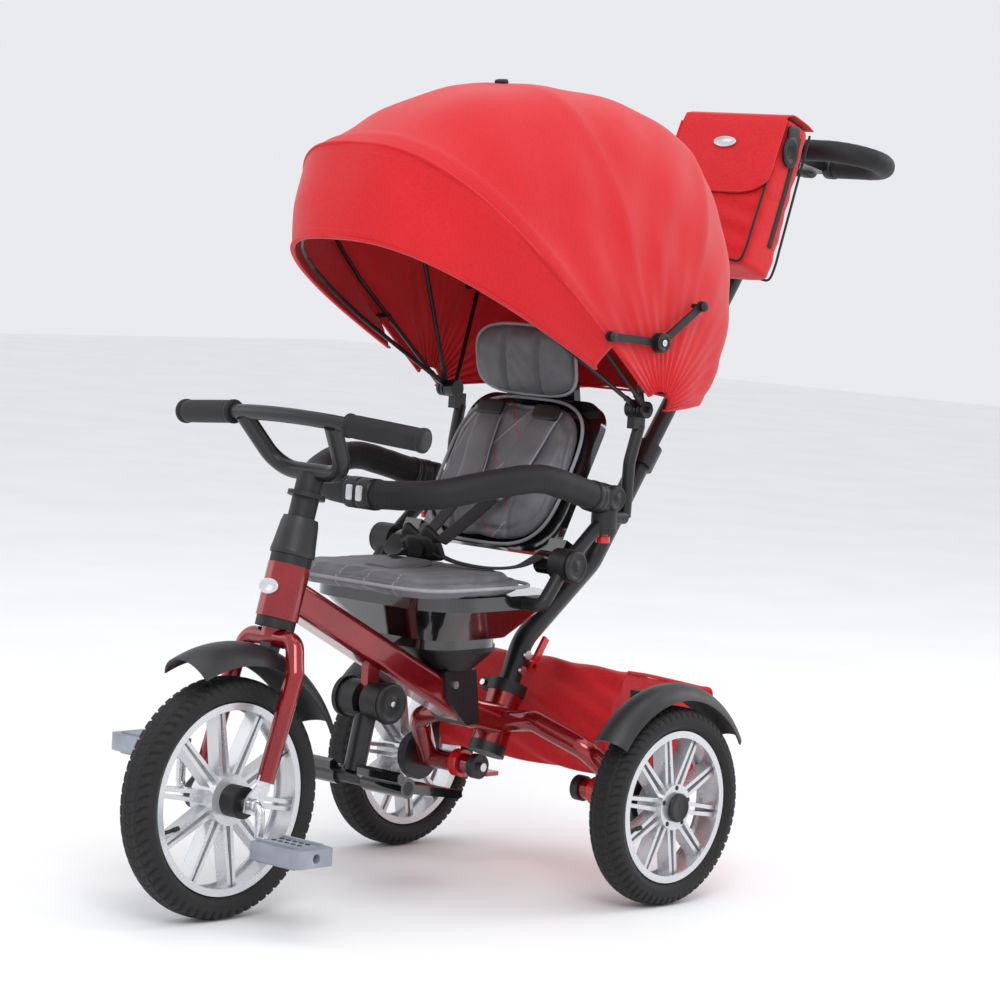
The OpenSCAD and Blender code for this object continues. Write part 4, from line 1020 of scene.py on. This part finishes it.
basketCloth()
for sign, tag in sides:
    edge = curveThrough(np.array([[149 * sign, y, z] for y, z in basketSet["side"][:9]]) * mm, 80)
    cordAlong("basketBinding" + tag, edge, (0.0045, 0.0035), paint["clothRed"], "red_fabric", "chassis",
              power=2.5, count=10, up=(1, 0, 0))
print("basket hung")

# Tyres: a rounded section turned about the axle, with ribs round the crown and blocks on both shoulders
tyreSet = dict(width=0.048, height=0.032, blocks=66, crownBlocks=132, ribs=(-0.013, -0.0045, 0.0045, 0.013),
               crown=0.0125, bore=0.0014)


def tyrePiece(name, centre, radius, body, node):
    # Grooves lower the section towards its middle: ribs round it, slanted cuts on the shoulders, fine cuts between
    b = tyreSet
    half = b["height"] / 2
    turn = np.linspace(0, 2 * pi, b["blocks"] * 9, endpoint=False)[:, None]
    a = np.linspace(-pi, pi, 72, endpoint=False)[None]
    ca, sa = np.cos(a), np.sin(a)
    px = b["width"] / 2 * np.sign(sa) * np.abs(sa) ** (2 / 2.6)
    pr = half * np.sign(ca) * np.abs(ca) ** (2 / 2.6)
    outer = np.clip((pr / half - 0.15) / 0.3, 0, 1)
    ribs = sum(np.exp(-((px - g) / 0.0011) ** 2) for g in b["ribs"])
    cut = np.clip((np.sin(turn * b["blocks"] + np.abs(px) * 260) - 0.55) / 0.2, 0, 1)
    shoulder = np.clip((np.abs(px) - b["crown"]) / 0.002, 0, 1) * outer
    fine = np.clip((np.sin(turn * b["crownBlocks"] + np.abs(px) * 500) - 0.86) / 0.1, 0, 1)
    fine = fine * np.clip((b["crown"] - np.abs(px)) / 0.001, 0, 1) * outer
    depth = 0.0016 * ribs * outer + 0.0019 * cut * shoulder + 0.0011 * fine
    scale = 1 - depth / half
    bead = 0.0006 * (np.exp(-((pr + 0.004) / 0.0012) ** 2) + np.exp(-((pr - 0.001) / 0.0009) ** 2))
    r = np.maximum(radius - half + pr * scale, radius - b["height"] + b["bore"])
    x = px * np.where(np.abs(px) > 0.014, scale, 1.0) + np.sign(px) * bead
    y = centre[1] * mm - r * np.sin(turn)
    z = centre[2] * mm + r * np.cos(turn)
    points = np.stack(np.broadcast_arrays(centre[0] * mm + x, y, z), -1)
    piece = gridPiece(name, points, paint["tyreBlack"], loopRows=True, loopCols=True)
    settled(piece, "tyre_rubber", body, node)


wheelSet = dict(front=(0, -285, 150), rearX=236, rearY=285, rearZ=130,
                cap=[(0.1, 0), (18, 0), (19, 1), (19, 3.5), (17.5, 5.5), (15, 6.2), (14, 5.4), (3, 5.6), (0.1, 5.7)],
                lug=[(0.1, 0), (3.4, 0), (3.4, 1.8), (2.6, 2.4), (0.1, 2.4)],
                valve=[(0.1, -8), (3.4, -8), (3.2, 4), (2.4, 6), (2.4, 16), (3.0, 16.5), (3.0, 24), (2.4, 25), (0.1, 25)],
                nut=[(0.1, 0), (8.2, 0), (8.2, 5), (7.2, 6.2), (4.2, 6.2), (4.0, 9.5), (3.2, 10.5), (0.1, 10.5)])


def valveStem(centre, radius, body, side):
    a = radians(200)
    spot = np.array(centre) + (4 * side, radius * cos(a), radius * sin(a))
    turnedPart("valve_" + body, wheelSet["valve"], spot, (0.45 * side, -cos(a), -sin(a)), "satinBlack", body, 20,
               (1, 0, 0.2))


def rearWheel(sign, tag):
    # Tyre, blank cap, five lug nuts and a valve
    w = wheelSet
    centre = (w["rearX"] * sign, w["rearY"], w["rearZ"])
    body = "rear_wheel_" + tag[0].lower()
    tyrePiece("rearTyreSkin" + tag, centre, 0.130, body, "rear_tyre_" + tag.lower())
    turnedPart("wheelCap" + tag[0], w["cap"], (258.2 * sign, w["rearY"], w["rearZ"]), (sign, 0, 0), "satinBlack", body)
    for k in range(5):
        a = radians(90 + 72 * k)
        spot = (254.6 * sign, w["rearY"] + 25.5 * cos(a), w["rearZ"] + 25.5 * sin(a))
        turnedPart("wheelLug%s%d" % (tag[0], k), w["lug"], spot, (sign, 0, 0), "satinBlack", body, 6)
    valveStem(centre, 86, body, sign)


tyrePiece("frontTyreSkin", wheelSet["front"], 0.150, "front_wheel", "front_tyre")
valveStem(wheelSet["front"], 106, "front_wheel", 1)
for sign, tag in sides:
    rearWheel(sign, tag)
print("wheels on")

# Small hardware
clipSet = ((74, 424, "Mid", (0, -0.27, 0.96), "canopy_mid"), (113, 392, "Rear", (0, 0.39, 0.92), "seat"))
for angle, radius, tag, out, body in clipSet:
    a = radians(angle)
    spot = np.array([0, 264 - radius * cos(a), 640 + radius * sin(a)]) + np.array(out) * 3.0
    mouldedBlock("canopyClip" + tag, (20, 9, 7), facing(spot, out, (1, 0, 0)), "satinBlack", body, 4)

discs = dict(
    stayCap=[(0.1, 0), (6.5, 0), (7, 1), (6.6, 2.6), (4, 3.6), (0.1, 3.8)],
    stayKnuckle=[(0.1, 0), (10.5, 0), (12.4, 1.2), (12.4, 3.2), (10.5, 4.4), (8.2, 4.4), (7.8, 3.4), (0.1, 3.4)],
    stayScrew=[(0.1, 3.2), (4.4, 3.2), (4.6, 4.2), (3.6, 5.0), (1.6, 5.0), (1.4, 4.2), (0.1, 4.2)],
    drumDisc=[(0.1, 0), (25, 0), (26.5, 1), (26.5, 3), (25, 4.4), (21, 4.8), (20.4, 4.0), (6, 4.0), (5.6, 5.2),
              (0.1, 5.6)],
    drumDot=[(0.1, 5.2), (3.6, 5.2), (3.8, 6.0), (3.2, 6.5), (0.1, 6.6)],
    recliner=[(0.1, 0), (19, 0), (20.5, 1.2), (20.5, 4), (18.6, 6), (15.5, 6.4), (14.8, 5.4), (5, 5.4), (4.6, 6.8),
              (0.1, 7.2)],
    axleNut=wheelSet["nut"],
)
discPlaces = (
    ("stayCap", "Front", (213.5, 149.86, 735.77), "satinBlack", "canopy_front", 40),
    ("stayCap", "Rear", (217.8, 322.22, 777.16), "satinBlack", "seat", 40),
    ("stayKnuckle", "", (215.4, 246, 729), "satinBlack", "stay_rear", 48),
    ("stayScrew", "", (215.4, 246, 729), "zinc", "stay_rear", 24),
    ("drumDisc", "", (37.8, -33, 255), "satinBlack", "footrest", 64),
    ("drumDot", "", (37.8, -33, 255), "zinc", "footrest", 24),
    ("recliner", "", (171, 152, 439), "satinBlack", "seat", 64),
    ("axleNut", "", (59.0, -285, 150), "zinc", "front_wheel", 6),
)
for sign, tag in sides:
    for kind, end, (x, y, z), colour, body, segments in discPlaces:
        turnedPart(kind + end + tag, discs[kind], (x * sign, y, z), (sign, 0, 0), colour, body, segments)


def pedalPlugs(name, sign, zMiddle, body):
    # Rows of dark oval plugs, one small dome repeated over a grid on both faces of the pedal
    ring = np.linspace(0, 2 * pi, 12, endpoint=False)
    foot = np.stack([4.0 * np.cos(ring), 2.8 * np.sin(ring), 0 * ring], 1)
    crown = np.stack([3.4 * np.cos(ring), 2.3 * np.sin(ring), 0.7 + 0 * ring], 1)
    disc = np.concatenate([foot, crown])
    faces = gridFaces(2, 12, loopCols=True).tolist() + [list(range(12, 24)), list(range(11, -1, -1))]
    spots = [(x, y) for y in (-13.5, 0, 13.5) for x in np.arange(98, 152, 11)]
    points, every = [], []
    for face in (1, -1):
        for x, y in spots:
            base = len(points) * 24
            at = disc * (1, 1, face) + (x, y - 285, zMiddle + face * 11)
            points.append(at * (sign, 1, 1))
            every += [[base + k for k in (f if face * sign > 0 else f[::-1])] for f in faces]
    piece = makePiece(name, np.concatenate(points) * mm, every, paint["satinBlack"])
    settled(piece, "black_plastic", body)


pedalPlugs("pedalPlugsLeft", 1, 103, "pedal_l")
pedalPlugs("pedalPlugsRight", -1, 197, "pedal_r")
headSet = dict(foot=(0, -263.23, 144.33), axis=(0, 0.25207, 0.96771), front=(0, -0.96771, 0.25207),
               badge=[(0.1, 0), (9.5, 0), (10, 0.9), (9.2, 1.8), (8, 1.8), (7.6, 1.2), (0.1, 1.6)])
badgeSpot = np.array(headSet["foot"]) + np.array(headSet["axis"]) * 266 + np.array(headSet["front"]) * 26.4
turnedPart("headBadge", headSet["badge"], badgeSpot, headSet["front"], "wheelSilver", "chassis", 48, (1, 0, 0),
           (1.7, 1.0))
print("hardware on")

# Stage and light


def flatStage():
    mesh = bpy.data.meshes.new("floor")
    mesh.from_pydata([(-12, -12, 0), (12, -12, 0), (12, 12, 0), (-12, 12, 0)], [], [(0, 1, 2, 3)])
    floor = bpy.data.objects.new("floor", mesh)
    bpy.context.scene.collection.objects.link(floor)
    ink = Ink("floorPaint", Roughness=0.75)
    cloud = ink.noise(3, 2.0).ramp(0.3, 0.7)
    mesh.materials.append(ink.wear(Base_Color=ink.blend(cloud, (0.90, 0.90, 0.90), (0.93, 0.93, 0.93))))


def softLight(name, at, target, size, power):
    data = bpy.data.lights.new(name, "AREA")
    data.shape = "RECTANGLE"
    data.size, data.size_y = size
    data.energy = power
    lamp = bpy.data.objects.new(name, data)
    bpy.context.scene.collection.objects.link(lamp)
    z = np.array(at, float) - np.array(target, float)
    lamp.matrix_world = Matrix(facing(np.array(at) / mm, z).tolist())


def roomLight(colour, strength):
    world = bpy.data.worlds.new("room")
    world.use_nodes = True
    sky = world.node_tree.nodes["Background"]
    sky.inputs["Color"].default_value = (*colour, 1)
    sky.inputs["Strength"].default_value = strength
    bpy.context.scene.world = world
    bpy.context.scene.view_settings.view_transform = "Standard"


flatStage()
softLight("key", (2.6, -2.4, 3.4), (0, 0, 0.5), (2.0, 2.0), 78)
softLight("fill", (-3.2, -2.0, 2.0), (0, 0, 0.5), (2.6, 2.0), 14)
softLight("top", (0.2, 0.3, 3.8), (0, 0.1, 0.4), (2.8, 2.8), 30)
softLight("rim", (1.5, 3.4, 2.2), (0, 0.1, 0.6), (2.0, 1.6), 30)
roomLight((0.95, 0.96, 1.0), 0.86)
print("lights set")
